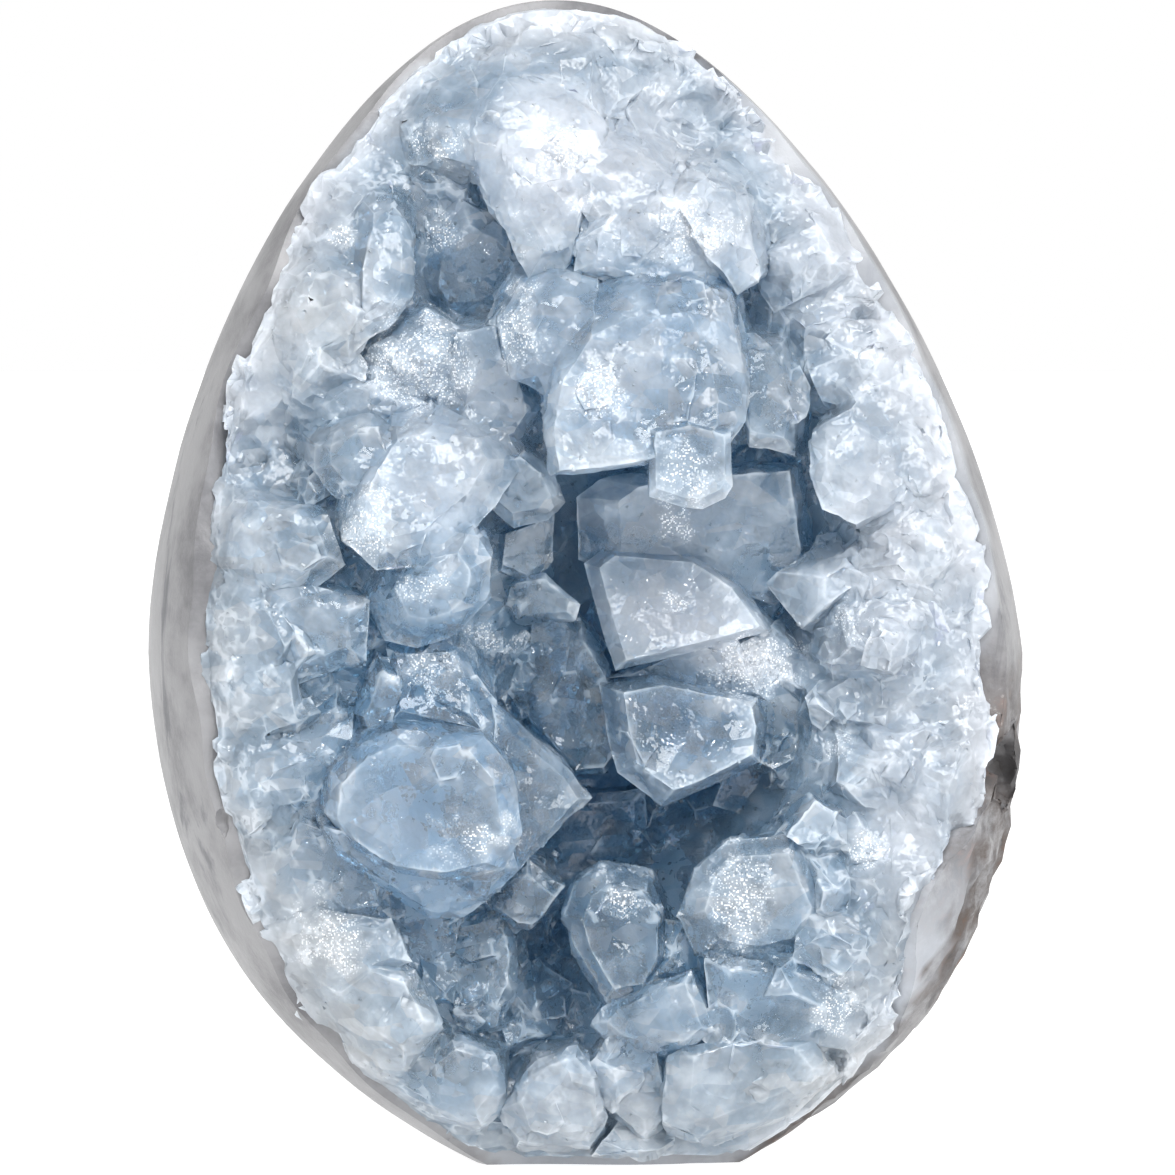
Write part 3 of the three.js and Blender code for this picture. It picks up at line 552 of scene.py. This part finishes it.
GLITTER = [  # x, z, reach across, reach up, amount
    (-16.9, 104.5, 3, 3, 0.8),
    (-3.9, 104.9, 2.4, 2.2, 0.8),
    (-5.1, 98.2, 5.5, 7, 0.3),
    (-16.2, 96.3, 2.2, 3, 0.8),
    (9.2, 96.3, 6.5, 3.5, 0.7),
    (-26.5, 95.3, 1.6, 1.6, 0.8),
    (-18.5, 83, 6, 6, 1),
    (-8, 86.9, 2.6, 5.5, 0.7),
    (0.2, 80.1, 4.5, 3.8, 0.7),
    (8.7, 72.7, 4, 3.6, 0.7),
    (7.4, 66, 3, 2.3, 0.6),
    (8.2, 58.6, 1.7, 1.7, 0.7),
    (15.4, 51.5, 5.5, 3.6, 1),
    (-11.1, 54.7, 4.2, 2.3, 0.8),
    (-17.8, 60.7, 3.6, 1.7, 0.7),
    (-23.6, 66.5, 3.5, 4.5, 0.9),
    (-17.5, 51.1, 3.4, 3.4, 0.7),
    (-12.3, 35.2, 4.5, 4, 0.8),
    (2, 28, 2.4, 1.6, 0.8),
    (14, 27.8, 3.2, 6, 1),
    (24.4, 17.2, 1.9, 3.6, 1),
    (25.7, 56.3, 3.4, 2.3, 0.7),
    (24.4, 43.7, 1.8, 2.2, 0.7),
    (27.2, 33.2, 2, 2, 0.8),
    (-27.2, 25, 4, 4, 0.9),
]
CREAM = [  # the same for places stained grey or cream
    (0, 5, 24, 6, 0.55),
    (-33, 54, 7, 16, 0.4),
    (-31, 31, 8, 10, 0.35),
    (33, 21, 8, 8, 0.4),
    (-28.5, 87, 5, 6, 0.9),
    (-24.5, 15.5, 6.5, 7.5, 1),
    (15, 28.5, 5, 4.5, 0.3),
    (-23, 66, 5, 6, 0.35),
    (-30, 24, 5, 4, 0.5),
    (22, 10, 10, 5, 0.8),
]
PALE = [  # for milky places; the first two are painted light on the front blocks that the shelf shades
    # painted light where the shelf shades the front blocks
    (7, 57, 10, 6, 1.0),
    (9, 67, 11, 5, 0.5),
    (9, 107, 7, 8, 0.5),
    (-17.5, 38, 10, 8, 0.35),
    (30, 62, 10, 26, 0.9),
    (33, 30, 8, 14, 0.7),
    (24, 92, 10, 10, 0.7),
    (-4, 104, 12, 12, 1.0),
    (2, 80, 12, 9, 0.45),
    (-17, 70, 9, 8, 0.7),
    (-17, 81, 9, 6, 0.5),
    (-26, 90, 7, 9, 0.6),
    (10, 96, 7, 5, 0.5),
    (16, 27, 8, 8, 0.2),
    (0, 6, 26, 7, 0.6),
    (15.4, 51.5, 6, 3, 0.8),
]
CLEAN = [  # for large faces that are nearly whole
    (9, 65, 12, 8, 1),
    (7, 57, 11, 6, 1),
    (8, 44, 10, 7, 1),
    (-17.5, 38, 11, 9, 1),
    (-14, 92, 5, 7, 0.8),
    (9, 71, 5, 5, 0.8),
]
WHOLE = [  # and for large crystals that nothing grew on
    (4, 78, 11, 10, 1),
    (9, 71, 5, 5, 1),
    (9, 64, 12, 8, 1),
    (7, 57, 10, 6, 1),
    (8, 44, 10, 7, 1),
    (-17.5, 38, 11, 10, 1),
    (-14, 92, 5, 7, 1),
    (15, 28, 7, 7, 1),
    (1, 26, 5, 7, 1),
    (-16, 69, 8, 8, 1),
    (-17, 60, 6, 6, 1),
]


def on_banks(places, normals):
    x, z = places[:, 0], places[:, 2]
    shown = (normals[:, 1] < -0.2) & (z > 4) & (z < 116) & (out_share(x, z) < 0.93)
    bare = humps(x, z, [(38, 24, 9, 13, 1), (43, 41, 5, 5, 1)] + WHOLE) > 0.35
    return shown * ~bare * (proud_of(places) < 2.4)


def on_blocks(places, normals):
    x, z = places[:, 0], places[:, 2]
    shown = (normals[:, 1] < -0.1) & (z > 4) & (z < 116) & (out_share(x, z) < 0.93)
    return shown * (proud_of(places) > 1.5) * (1 - humps(x, z, CLEAN))


fuse(crust, 4.2, on_banks, 3, sizes=(2.6, 5.2), shows=(0.2, 1.0), tip=1.2, most=3.2)
fuse(crust, 5.0, on_blocks, 4, sizes=(2.2, 5.0), shows=(0.1, 0.5), tip=0.14, most=0.9, flat=True)
fuse(crust, 2.9, on_banks, 5, sizes=(1.1, 2.4), shows=(0.15, 0.6), tip=1.2, most=1.6)
# The crust keeps inside the egg, and is worn back from the rim where the rock shows.
outer = egg("outer", -0.25, 6)
places = places_of(outer.data)
x, z = places[:, 0], places[:, 2]
bare = humps(x, z, [(44, 34, 12, 13, 1.1), (32, 12, 12, 9, 0.5), (-44, 50, 8, 40, 0.6)])
bare *= 1 + 0.4 * noise_at(places, 6, seed=41, octaves=3)
bare += np.clip(0.4 + 1.2 * noise_at(places, 6, seed=42, octaves=3), 0, 1.4)
places -= normals_of(outer.data) * bare[:, None]
set_places(outer.data, places)
cut(crust, outer, "INTERSECT")


FINEST = 1.2  # length of the mesh's edges on the front
FLAT = 1  # faces that differ by fewer degrees than this are one face
SHARPEST_SMOOTH = 14  # an edge that turns by more degrees than this is a crystal's edge
FACET_EDGE = 9  # and once the faces are uneven, one that turns by more than this
PRESSED, MOST_PRESSED = 0.82, 3.2  # share of the banks' relief that is pressed flat, and its limit


def facets(places, size, seed):
    """A height made of flat tilted facets about size mm across, from about -1 to 1."""
    spread = np.random.default_rng(seed)
    low, high = places.min(0) - size, places.max(0) + size
    count = int(np.prod((high - low) / size))
    seeds = spread.uniform(low, high, (count, 3))
    tilts = spread.normal(0, 1, (count, 3))
    lifts = spread.uniform(-0.5, 0.5, count)
    tree = kdtree.KDTree(count)
    for i, seed_place in enumerate(seeds.tolist()):
        tree.insert(seed_place, i)
    tree.balance()
    nearest = np.array([tree.find(p)[1] for p in places.tolist()])
    tilt = ((places - seeds[nearest]) * tilts[nearest]).sum(1) / size
    return np.clip(tilt + lifts[nearest], -1, 1)


def averaged(thing, values, rounds):
    """Values of a mesh's points, each time mixed with those of their neighbours."""
    ends = np.empty(len(thing.data.edges) * 2, np.int32)
    thing.data.edges.foreach_get("vertices", ends)
    a, b = ends[0::2], ends[1::2]
    count = len(thing.data.vertices)
    share = np.bincount(a, minlength=count) + np.bincount(b, minlength=count) + 1.0
    values = np.array(values, float).reshape(count, -1)
    for _ in range(rounds):
        sums = [
            column
            + np.bincount(a, weights=column[b], minlength=count)
            + np.bincount(b, weights=column[a], minlength=count)
            for column in values.T
        ]
        values = np.stack([column / share for column in sums], 1)
    return values


def reference(thing, size, rounds):
    """A coarse, smoothed copy of a piece, as a tree of faces to measure its relief from."""
    rough = bpy.data.objects.new("rough", thing.data.copy())
    bpy.context.scene.collection.objects.link(rough)
    step = rough.modifiers.new("even", "REMESH")
    step.mode = "VOXEL"
    step.voxel_size = size * MM
    settle(rough)
    points = averaged(rough, places_of(rough.data), rounds)
    faces = [face.vertices[:] for face in rough.data.polygons]
    tree = bvhtree.BVHTree.FromPolygons(points.tolist(), faces)
    bpy.data.objects.remove(rough)
    return tree


def relief_of(places):
    """How far each place stands out of the smoothed crust, and which way is out there."""
    found = [smoothed.find_nearest(p) for p in places.tolist()]
    near = np.array([f[0] for f in found])
    normals = np.array([f[1] for f in found])
    return ((places - near) * normals).sum(1), normals


smoothed = reference(crust, size=1.3, rounds=14)
shape = bmesh.new()
shape.from_mesh(crust.data)
bmesh.ops.dissolve_limit(
    shape, angle_limit=math.radians(FLAT), verts=shape.verts, edges=shape.edges
)
bmesh.ops.triangulate(shape, faces=shape.faces)
ridge = shape.verts.layers.float.new("ridge")
for edge in shape.edges:
    if len(edge.link_faces) == 2:
        edge.smooth = edge.calc_face_angle() < math.radians(SHARPEST_SMOOTH)
for _ in range(5):
    long = [
        edge
        for edge in shape.edges
        if edge.calc_length() > FINEST * MM and max(v.co.y for v in edge.verts) < 0.004
    ]
    bmesh.ops.subdivide_edges(shape, edges=long, cuts=1)
    bmesh.ops.triangulate(shape, faces=shape.faces)
for edge in shape.edges:
    if not edge.smooth and len(edge.link_faces) == 2:
        bend = edge.calc_face_angle_signed()
        for vert in edge.verts:
            vert[ridge] = max(vert[ridge], bend)
for face in shape.faces:
    face.smooth = True
shape.to_mesh(crust.data)
shape.free()
places = places_of(crust.data)
x, z = places[:, 0], places[:, 2]
relief, outward = relief_of(places)
# The banks are pressed nearly flat and rounded, the middle half as much, the whole crystals not.
to_rim = np.clip((np.maximum(out_share(x, z), np.abs(height_share(z)) ** 2) - 0.5) / 0.25, 0, 1)
to_rim = np.maximum(to_rim, np.clip((z - 90) / 10, 0, 0.95))
to_rim = np.maximum(to_rim, np.clip((18 - z) / 8, 0, 0.7))
standing = humps(x, z, WHOLE[:7])
to_rim = np.maximum(to_rim, 0.5 * (1 - np.clip(1.4 * standing, 0, 1)))
to_rim *= np.clip((-outward[:, 1] - 0.05) / 0.3, 0, 1)
flatter = to_rim * (1 - 0.7 * np.clip(humps(x, z, CREAM), 0, 1))
pressed = np.clip(relief, -MOST_PRESSED, MOST_PRESSED) * PRESSED * flatter
places -= outward * pressed[:, None]
soft = 0.8 * np.clip((out_share(x, z) - 0.6) / 0.2, 0, 1) * (outward[:, 1] < 0.1)
places += (averaged(crust, places, 4) - places) * soft[:, None]
clean = np.clip(humps(x, z, CLEAN), 0, 1)
edge_points = np.zeros(len(places), bool)
for edge in crust.data.edges:
    if edge.use_edge_sharp:
        edge_points[list(edge.vertices)] = True
uneven = facets(places, 4.6, 8) * 0.34 + facets(places, 2.4, 9) * 0.2
uneven *= (1 - clean * 0.7) * (0.8 + 0.2 * to_rim)
uneven += noise_at(places, 5, seed=21) * 0.1
uneven = np.where(edge_points, uneven * 0.4, uneven) - 0.05
places += normals_of(crust.data) * uneven[:, None]
set_places(crust.data, places)
crust.data.set_sharp_from_angle(angle=math.radians(FACET_EDGE))


DEEPEST = 24  # depth below the banks at which the blue is darkest


def mark(thing):
    """Writes on a crystal piece what its material needs at each point, each value from 0 to 1."""
    places = places_of(thing.data)
    x, z = places[:, 0], places[:, 2]
    # Deeper in the hollow the blue darkens and the milk fades, partly the crystals' own deeper
    # colour and partly painted shade.
    depth = np.clip((rim_forward(x, z) + PROUD + places[:, 1]) / DEEPEST, 0, 1)
    depth *= 1 - humps(x, z, [(17, 22, 9, 12, 0.5), (-14, 92, 5, 7, 0.6)])
    depth += humps(x, z, [(-17.5, 38, 9, 8, 0.3), (8, 44, 9, 6, 0.45), (9, 64, 11, 6, 0.15)])
    rim = np.clip((np.maximum(out_share(x, z), np.abs(height_share(z)) ** 3) - 0.5) / 0.4, 0, 1)
    rim *= 1 - humps(x, z, [(-36, 50, 12, 24, 0.4), (-12, 2, 18, 10, 0.7)])
    cloudy = noise_at(places, 9, seed=31) * 0.35 + noise_at(places, 2.6, seed=32) * 0.35
    pale = np.clip(np.maximum(rim, humps(x, z, PALE)) * (1 - 0.8 * depth) + 0.25 * cloudy, 0, 1)
    glitter = humps(x, z, GLITTER) * (1 + 0.5 * noise_at(places, 1.6, seed=34, octaves=1))
    relief = relief_of(places)[0]
    values = {
        "depth": depth,
        "pale": pale,
        "cream": humps(x, z, CREAM) * (1 + 0.3 * noise_at(places, 4, seed=33, octaves=1)),
        "haze": 0.5 + 0.5 * cloudy - 0.12 * humps(x, z, CLEAN),
        "glitter": glitter + 0.12 * rim,
        # sunk places, which the material darkens to a deeper blue as painted shade
        "crevice": (-relief - 0.15) / 0.9,
        # raised places, which the material lightens as a painted highlight
        "top": (relief - 0.1) / 1.2,
    }
    for name, value in values.items():
        made = thing.data.attributes.new(name, "FLOAT", "POINT")
        made.data.foreach_set("value", np.clip(value, 0, 1).astype(np.float32))


mark(crust)

TINTS = {
    "clear": (0.45, 0.65, 0.83, 1),
    "deep": (0.24, 0.46, 0.68, 1),
    "milky": (0.7, 0.72, 0.775, 1),
    "cream": (0.5, 0.5, 0.49, 1),
    "mottled": (0.74, 0.79, 0.86, 1),
    "veil": (0.82, 0.86, 0.9, 1),
    "dark plane": (0.26, 0.45, 0.64, 1),
    "bright plane": (0.84, 0.88, 0.92, 1),
    # painted shade for sunk places
    "crevice": (0.2, 0.37, 0.52, 1),
    # high is a painted highlight on raised places, and also fine whitish specks
    "high": (0.8, 0.85, 0.9, 1),
    # spark is the colour of painted glints
    "spark": (0.97, 0.98, 1, 1),
    "through": (0.34, 0.74, 0.97, 1),
}
crystal, tree = new_material("celestite")
place = node(tree, "ShaderNodeTexCoord", out=3)
depth, pale, cream, haze, glitter, ridge, crevice, top = (
    node(tree, "ShaderNodeAttribute", {"attribute_name": name}, out=2)
    for name in ("depth", "pale", "cream", "haze", "glitter", "ridge", "crevice", "top")
)
wear = clouds(tree, place, 330, 2, 0.65)
fine = clouds(tree, place, 1300, 1, 0.7)
lean = {"Vector": place, "Scale": (1, 0.6, 1.5), "Rotation": (0.5, 0.3, 0.7)}
leaning = node(tree, "ShaderNodeMapping", {}, lean)
veils = node(
    tree,
    "ShaderNodeTexNoise",
    {"noise_type": "RIDGED_MULTIFRACTAL", "normalize": True},
    {"Vector": leaning, "Scale": 150, "Detail": 3, "Roughness": 0.5, "Lacunarity": 2.3},
)
GRAIN = (0.15 * MM,) * 3
snapped = node(tree, "ShaderNodeVectorMath", {"operation": "SNAP"}, {0: place, 1: GRAIN})
grains = node(tree, "ShaderNodeTexWhiteNoise", {"noise_dimensions": "3D"}, {"Vector": snapped}, 1)
planes = node(tree, "ShaderNodeTexVoronoi", {}, {"Vector": leaning, "Scale": 400}, 1)
plane = node(tree, "ShaderNodeSeparateColor", {}, {0: planes}, 0)
# Convex crystal edges get thin bright lines, broken up by noise: painted highlights.
edge = ridge.between(0.35, 1.2) * wear.between(0.36, 0.58) * (1 - pale * 0.6)
# Raised places add a little to the mottle, a slight painted highlight.
mottle = (haze + wear * 0.9 + top * 0.2 - 0.5).between(0.3, 0.8)
whole = 1 - pale.between(0.3, 0.8)
wisps = veils.between(0.6, 0.95)
patch = (glitter + wear * 1.6 - 0.8).between(0.3, 0.8)
# White dots in the glitter patches, painted glints.
painted_glints = node(tree, "ShaderNodeSeparateColor", {}, {0: grains}, 0).between(0.8, 0.86) * patch
# The deep tint is partly the crystals' own blue and partly painted shade in the hollow.
colour = mix(tree, depth.between(0.15, 1.0), TINTS["clear"], TINTS["deep"])
for amount, tint in (
    (pale * 0.9, "milky"),
    (cream * 0.75, "cream"),
    (mottle * 0.35, "mottled"),
    (wisps * (0.35 + whole * 0.4), "veil"),
    (plane.between(0.45, 0.6) * (0.06 + whole * 0.24), "dark plane"),
    (plane.between(0.35, 0.25) * (0.1 + whole * 0.2), "bright plane"),
    # sunk places turn a darker blue, painted shade in the crevices
    (crevice * (0.36 - pale * 0.2), "crevice"),
    # convex edges get thin bright lines, painted highlights, and glitter patches are whitened a
    # little
    (patch * 0.15 + edge * 0.4, "bright plane"),
    # raised places near the front are lightened, a painted highlight; the fine whitish specks are
    # the crystals' own
    (top * (1 - depth) * 0.2 + fine.between(0.55, 0.7) * 0.15, "high"),
    (painted_glints * 0.85, "spark"),
):
    colour = mix(tree, amount, colour, TINTS[tint])


def jitter(cells, amount):
    """A small turn of the surface, the same all over one cell, as a flat facet has."""
    half = (0.5, 0.5, 0.5)
    turn = node(tree, "ShaderNodeVectorMath", {"operation": "SUBTRACT"}, {0: cells, 1: half})
    return node(tree, "ShaderNodeVectorMath", {"operation": "SCALE"}, {0: turn, "Scale": amount})


height = fine * 0.35 + wear
bump = node(tree, "ShaderNodeBump", {}, {"Height": height, "Strength": 0.4, "Distance": 0.0009})
sparkling = bump
for turn in (jitter(grains, patch * 0.9), jitter(planes, 0.55)):
    sparkling = node(tree, "ShaderNodeVectorMath", {"operation": "ADD"}, {0: sparkling, 1: turn})
sparkling = node(tree, "ShaderNodeVectorMath", {"operation": "NORMALIZE"}, {0: sparkling})
clear = node(
    tree,
    "ShaderNodeBsdfPrincipled",
    {},
    {
        "Base Color": colour,
        "Roughness": 0.06 + mottle * 0.16,
        "IOR": REFRACTION,
        "Transmission Weight": CLEAR,
        "Normal": sparkling,
    },
)
milky = node(
    tree,
    "ShaderNodeBsdfPrincipled",
    {},
    {"Base Color": colour, "Roughness": 0.3, "IOR": REFRACTION, "Normal": sparkling},
)
# Painted highlights on raised places and edges, and the painted glints, also turn milky and so
# stay white.
share = pale * 0.45 + cream * 0.2 + mottle * 0.2 + wisps * 0.25 + top * 0.1
share = share + edge * 0.3 + patch * 0.15 + painted_glints * 0.5 + 0.03
share = share.maths("MINIMUM", share, MOST_MILKY)
both = node(tree, "ShaderNodeMixShader", {}, {0: share, 1: clear, 2: milky})
swallowed = {"Color": TINTS["through"], "Density": 34}
inside = node(tree, "ShaderNodeVolumeAbsorption", {}, swallowed)
node(tree, "ShaderNodeOutputMaterial", {}, {0: both, 1: inside})
crust.data.materials.clear()
crust.data.materials.append(crystal)
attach(crust, "root")
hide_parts("crystal_crust")

# Grains on the crust.
# The last and finest celestite, grains that grew in patches on the large crystals and the ledges.
# Each has the mineral's own faces, sits half sunk in the crust, and glints by itself.
def growth_tree():
    """Crystals set on a surface where its 'where' attribute allows them."""
    tree = bpy.data.node_groups.new("growth", "GeometryNodeTree")
    tree.interface.new_socket("Geometry", in_out="OUTPUT", socket_type="NodeSocketGeometry")
    for name, kind in (
        ("Geometry", "Geometry"),
        ("Crystals", "Collection"),
        ("Apart", "Float"),
        ("Density", "Float"),
        ("Smallest", "Float"),
        ("Largest", "Float"),
        ("Tip", "Float"),
        ("Sink", "Float"),
        ("Seed", "Int"),
        ("Material", "Material"),
    ):
        tree.interface.new_socket(name, in_out="INPUT", socket_type="NodeSocket" + kind)
    given = tree.nodes.new("NodeGroupInput")

    def ask(name):
        return Value(tree, given.outputs[name])

    number = {"data_type": "FLOAT"}
    where = node(tree, "GeometryNodeInputNamedAttribute", number, {"Name": "where"})
    points = node(
        tree,
        "GeometryNodeDistributePointsOnFaces",
        {"distribute_method": "POISSON"},
        {
            "Mesh": ask("Geometry"),
            "Distance Min": ask("Apart"),
            "Density Max": ask("Density"),
            "Density Factor": where,
            "Seed": ask("Seed"),
        },
    )
    normal = Value(tree, points.socket.node.outputs["Normal"])
    chance = node(tree, "FunctionNodeRandomValue", number, {"Seed": ask("Seed")}, 1)
    chance = chance.maths("POWER", chance, 2.0)
    size = ask("Smallest") + (ask("Largest") - ask("Smallest")) * chance
    sink = {0: normal, "Scale": size * ask("Sink") * -1}
    sunk = node(tree, "ShaderNodeVectorMath", {"operation": "SCALE"}, sink)
    rooted = node(tree, "GeometryNodeSetPosition", {}, {"Geometry": points, "Offset": sunk})
    upright = node(tree, "FunctionNodeAlignRotationToVector", {"axis": "X"}, {"Vector": normal})
    any_turn = {"data_type": "FLOAT_VECTOR"}
    swing = {"Min": (-1, -1, -1), "Max": (1, 1, 1), "Seed": ask("Seed") + 7}
    swing = node(tree, "FunctionNodeRandomValue", any_turn, swing)
    swing = {0: swing, "Scale": ask("Tip")}
    swing = node(tree, "ShaderNodeVectorMath", {"operation": "SCALE"}, swing)
    spin = {"Min": (-3.14, 0, 0), "Max": (3.14, 0, 0), "Seed": ask("Seed") + 11}
    spin = node(tree, "FunctionNodeRandomValue", any_turn, spin)
    turned = upright
    for turn in (swing, spin):
        local = {"rotation_space": "LOCAL"}
        turned = node(tree, "FunctionNodeRotateRotation", local, {0: turned, 1: turn})
    kinds = node(
        tree,
        "GeometryNodeCollectionInfo",
        {},
        {"Collection": ask("Crystals"), "Separate Children": True, "Reset Children": True},
    )
    setting = {"Points": rooted, "Instance": kinds, "Rotation": turned, "Scale": size}
    setting["Pick Instance"] = True
    grown = node(tree, "GeometryNodeInstanceOnPoints", {}, setting)
    real = node(tree, "GeometryNodeRealizeInstances", {}, {"Geometry": grown})
    finish = {"Geometry": real, "Material": ask("Material")}
    dressed = node(tree, "GeometryNodeSetMaterial", {}, finish)
    node(tree, "NodeGroupOutput", {}, {"Geometry": dressed})
    return tree


draw = np.random.default_rng(41)
kinds = bpy.data.collections.new("small crystal kinds")
for number in range(5):
    shape = bmesh.new()
    add_hull(shape, celestite(draw))
    bmesh.ops.recalc_face_normals(shape, faces=shape.faces)
    mesh = bpy.data.meshes.new(f"kind {number}")
    shape.to_mesh(mesh)
    shape.free()
    kinds.objects.link(bpy.data.objects.new(f"kind {number}", mesh))
places = places_of(crust.data)
x, z = places[:, 0], places[:, 2]
front = (normals_of(crust.data)[:, 1] < 0.3) & (places[:, 1] < 9) & (out_share(x, z) < 0.95)
front &= (z > 3) & (z < 117)
broken_up = np.clip(0.6 + 1.6 * noise_at(places, 2.2, seed=48, octaves=2), 0, 1)
where = front * (0.07 + 0.55 * humps(x, z, GLITTER) * broken_up)

growth = growth_tree()
grains_on_crust = bpy.data.objects.new("small_crystals", crust.data.copy())
bpy.context.scene.collection.objects.link(grains_on_crust)
made = grains_on_crust.data.attributes.new("where", "FLOAT", "POINT")
made.data.foreach_set("value", np.clip(where, 0, 1).astype(np.float32))
step = grains_on_crust.modifiers.new("growth", "NODES")
step.node_group = growth
inputs = {
    "Crystals": kinds,
    "Material": crystal,
    "Apart": 0.42 * MM,
    "Density": 4e6,  # to the square metre
    "Smallest": 0.07 * MM,
    "Largest": 0.32 * MM,
    "Tip": 1.2,
    "Sink": 0.5,
    "Seed": 5,
}
for socket in growth.interface.items_tree:
    if socket.in_out == "INPUT" and socket.name in inputs:
        step[socket.identifier] = inputs[socket.name]
settle(grains_on_crust)
spare = grains_on_crust.data.attributes.get("where")
if spare:
    grains_on_crust.data.attributes.remove(spare)
FRONT_MOST = -28.6  # no grain stands before the large crystals
places = places_of(grains_on_crust.data)
places[:, 1] = np.maximum(places[:, 1], FRONT_MOST)
set_places(grains_on_crust.data, places)
mark(grains_on_crust)
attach(grains_on_crust, "root")

# Floor, light and camera.
# A broad pale floor, soft studio light from above and in front, and a camera far off that looks
# very slightly down on the geode.
FAR = 4000
corners = [(-FAR, -FAR, 0), (FAR, -FAR, 0), (FAR, FAR, 0), (-FAR, FAR, 0)]
ground = new_object("floor", corners, [(0, 1, 2, 3)])
paper, tree = new_material("floor paper")
finish = node(
    tree,
    "ShaderNodeBsdfPrincipled",
    {},
    {
        "Base Color": (0.35, 0.35, 0.35, 1),
        "Roughness": 0.9,
        "Emission Color": (1, 1, 1, 1),
        "Emission Strength": 0.88,
    },
)
node(tree, "ShaderNodeOutputMaterial", {}, {0: finish})
ground.data.materials.append(paper)

world = bpy.data.worlds.new("studio")
world.use_nodes = True
sky = world.node_tree
upwards = node(sky, "ShaderNodeSeparateXYZ", {}, {0: node(sky, "ShaderNodeTexCoord", out=0)}, 2)
white, glow = sky.nodes["Background"].inputs[:2]
white.default_value = (1, 1, 1, 1)
sky.links.new((1 - upwards.between(0.08, 0.25) * 0.25).socket, glow)
bpy.context.scene.world = world


def lamp(name, place, size, power):
    made = bpy.data.lights.new(name, "AREA")
    made.shape = "DISK"
    made.size, made.energy = size, power
    thing = bpy.data.objects.new(name, made)
    thing.location = place
    thing.rotation_mode = "QUATERNION"
    thing.rotation_quaternion = (Vector((0, 0, 0.06)) - Vector(place)).to_track_quat("-Z", "Y")
    bpy.context.scene.collection.objects.link(thing)


lamp("key", (0.12, -0.6, 0.8), 0.6, 6.3)
lamp("fill", (0.7, -0.5, 0.4), 0.4, 2)
lamp("glint", (0.12, -0.7, 0.45), 0.04, 0.5)
lamp("second glint", (-0.3, -0.8, 0.2), 0.03, 0.3)

camera = bpy.data.cameras.new("camera")
camera.sensor_width = 36
DISTANCE, SEEN = 0.95, 0.1207  # in metres, the second across the picture at the geode
camera.lens = 36 * DISTANCE / SEEN
camera.clip_start, camera.clip_end = 0.01, 50
seat = bpy.data.objects.new("camera", camera)
bpy.context.scene.collection.objects.link(seat)
looks_at = Vector((-0.00128, -0.006, 0.0596))
DOWN = math.radians(2.5)
seat.location = looks_at + DISTANCE * Vector((0, -math.cos(DOWN), math.sin(DOWN)))
seat.rotation_mode = "QUATERNION"
seat.rotation_quaternion = (looks_at - seat.location).to_track_quat("-Z", "Y")
bpy.context.scene.camera = seat
bpy.context.scene.view_settings.view_transform = "Standard"
light = bpy.context.scene.cycles
light.max_bounces, light.transmission_bounces = 5, 5
light.use_light_tree = False
light.adaptive_threshold = 0.1
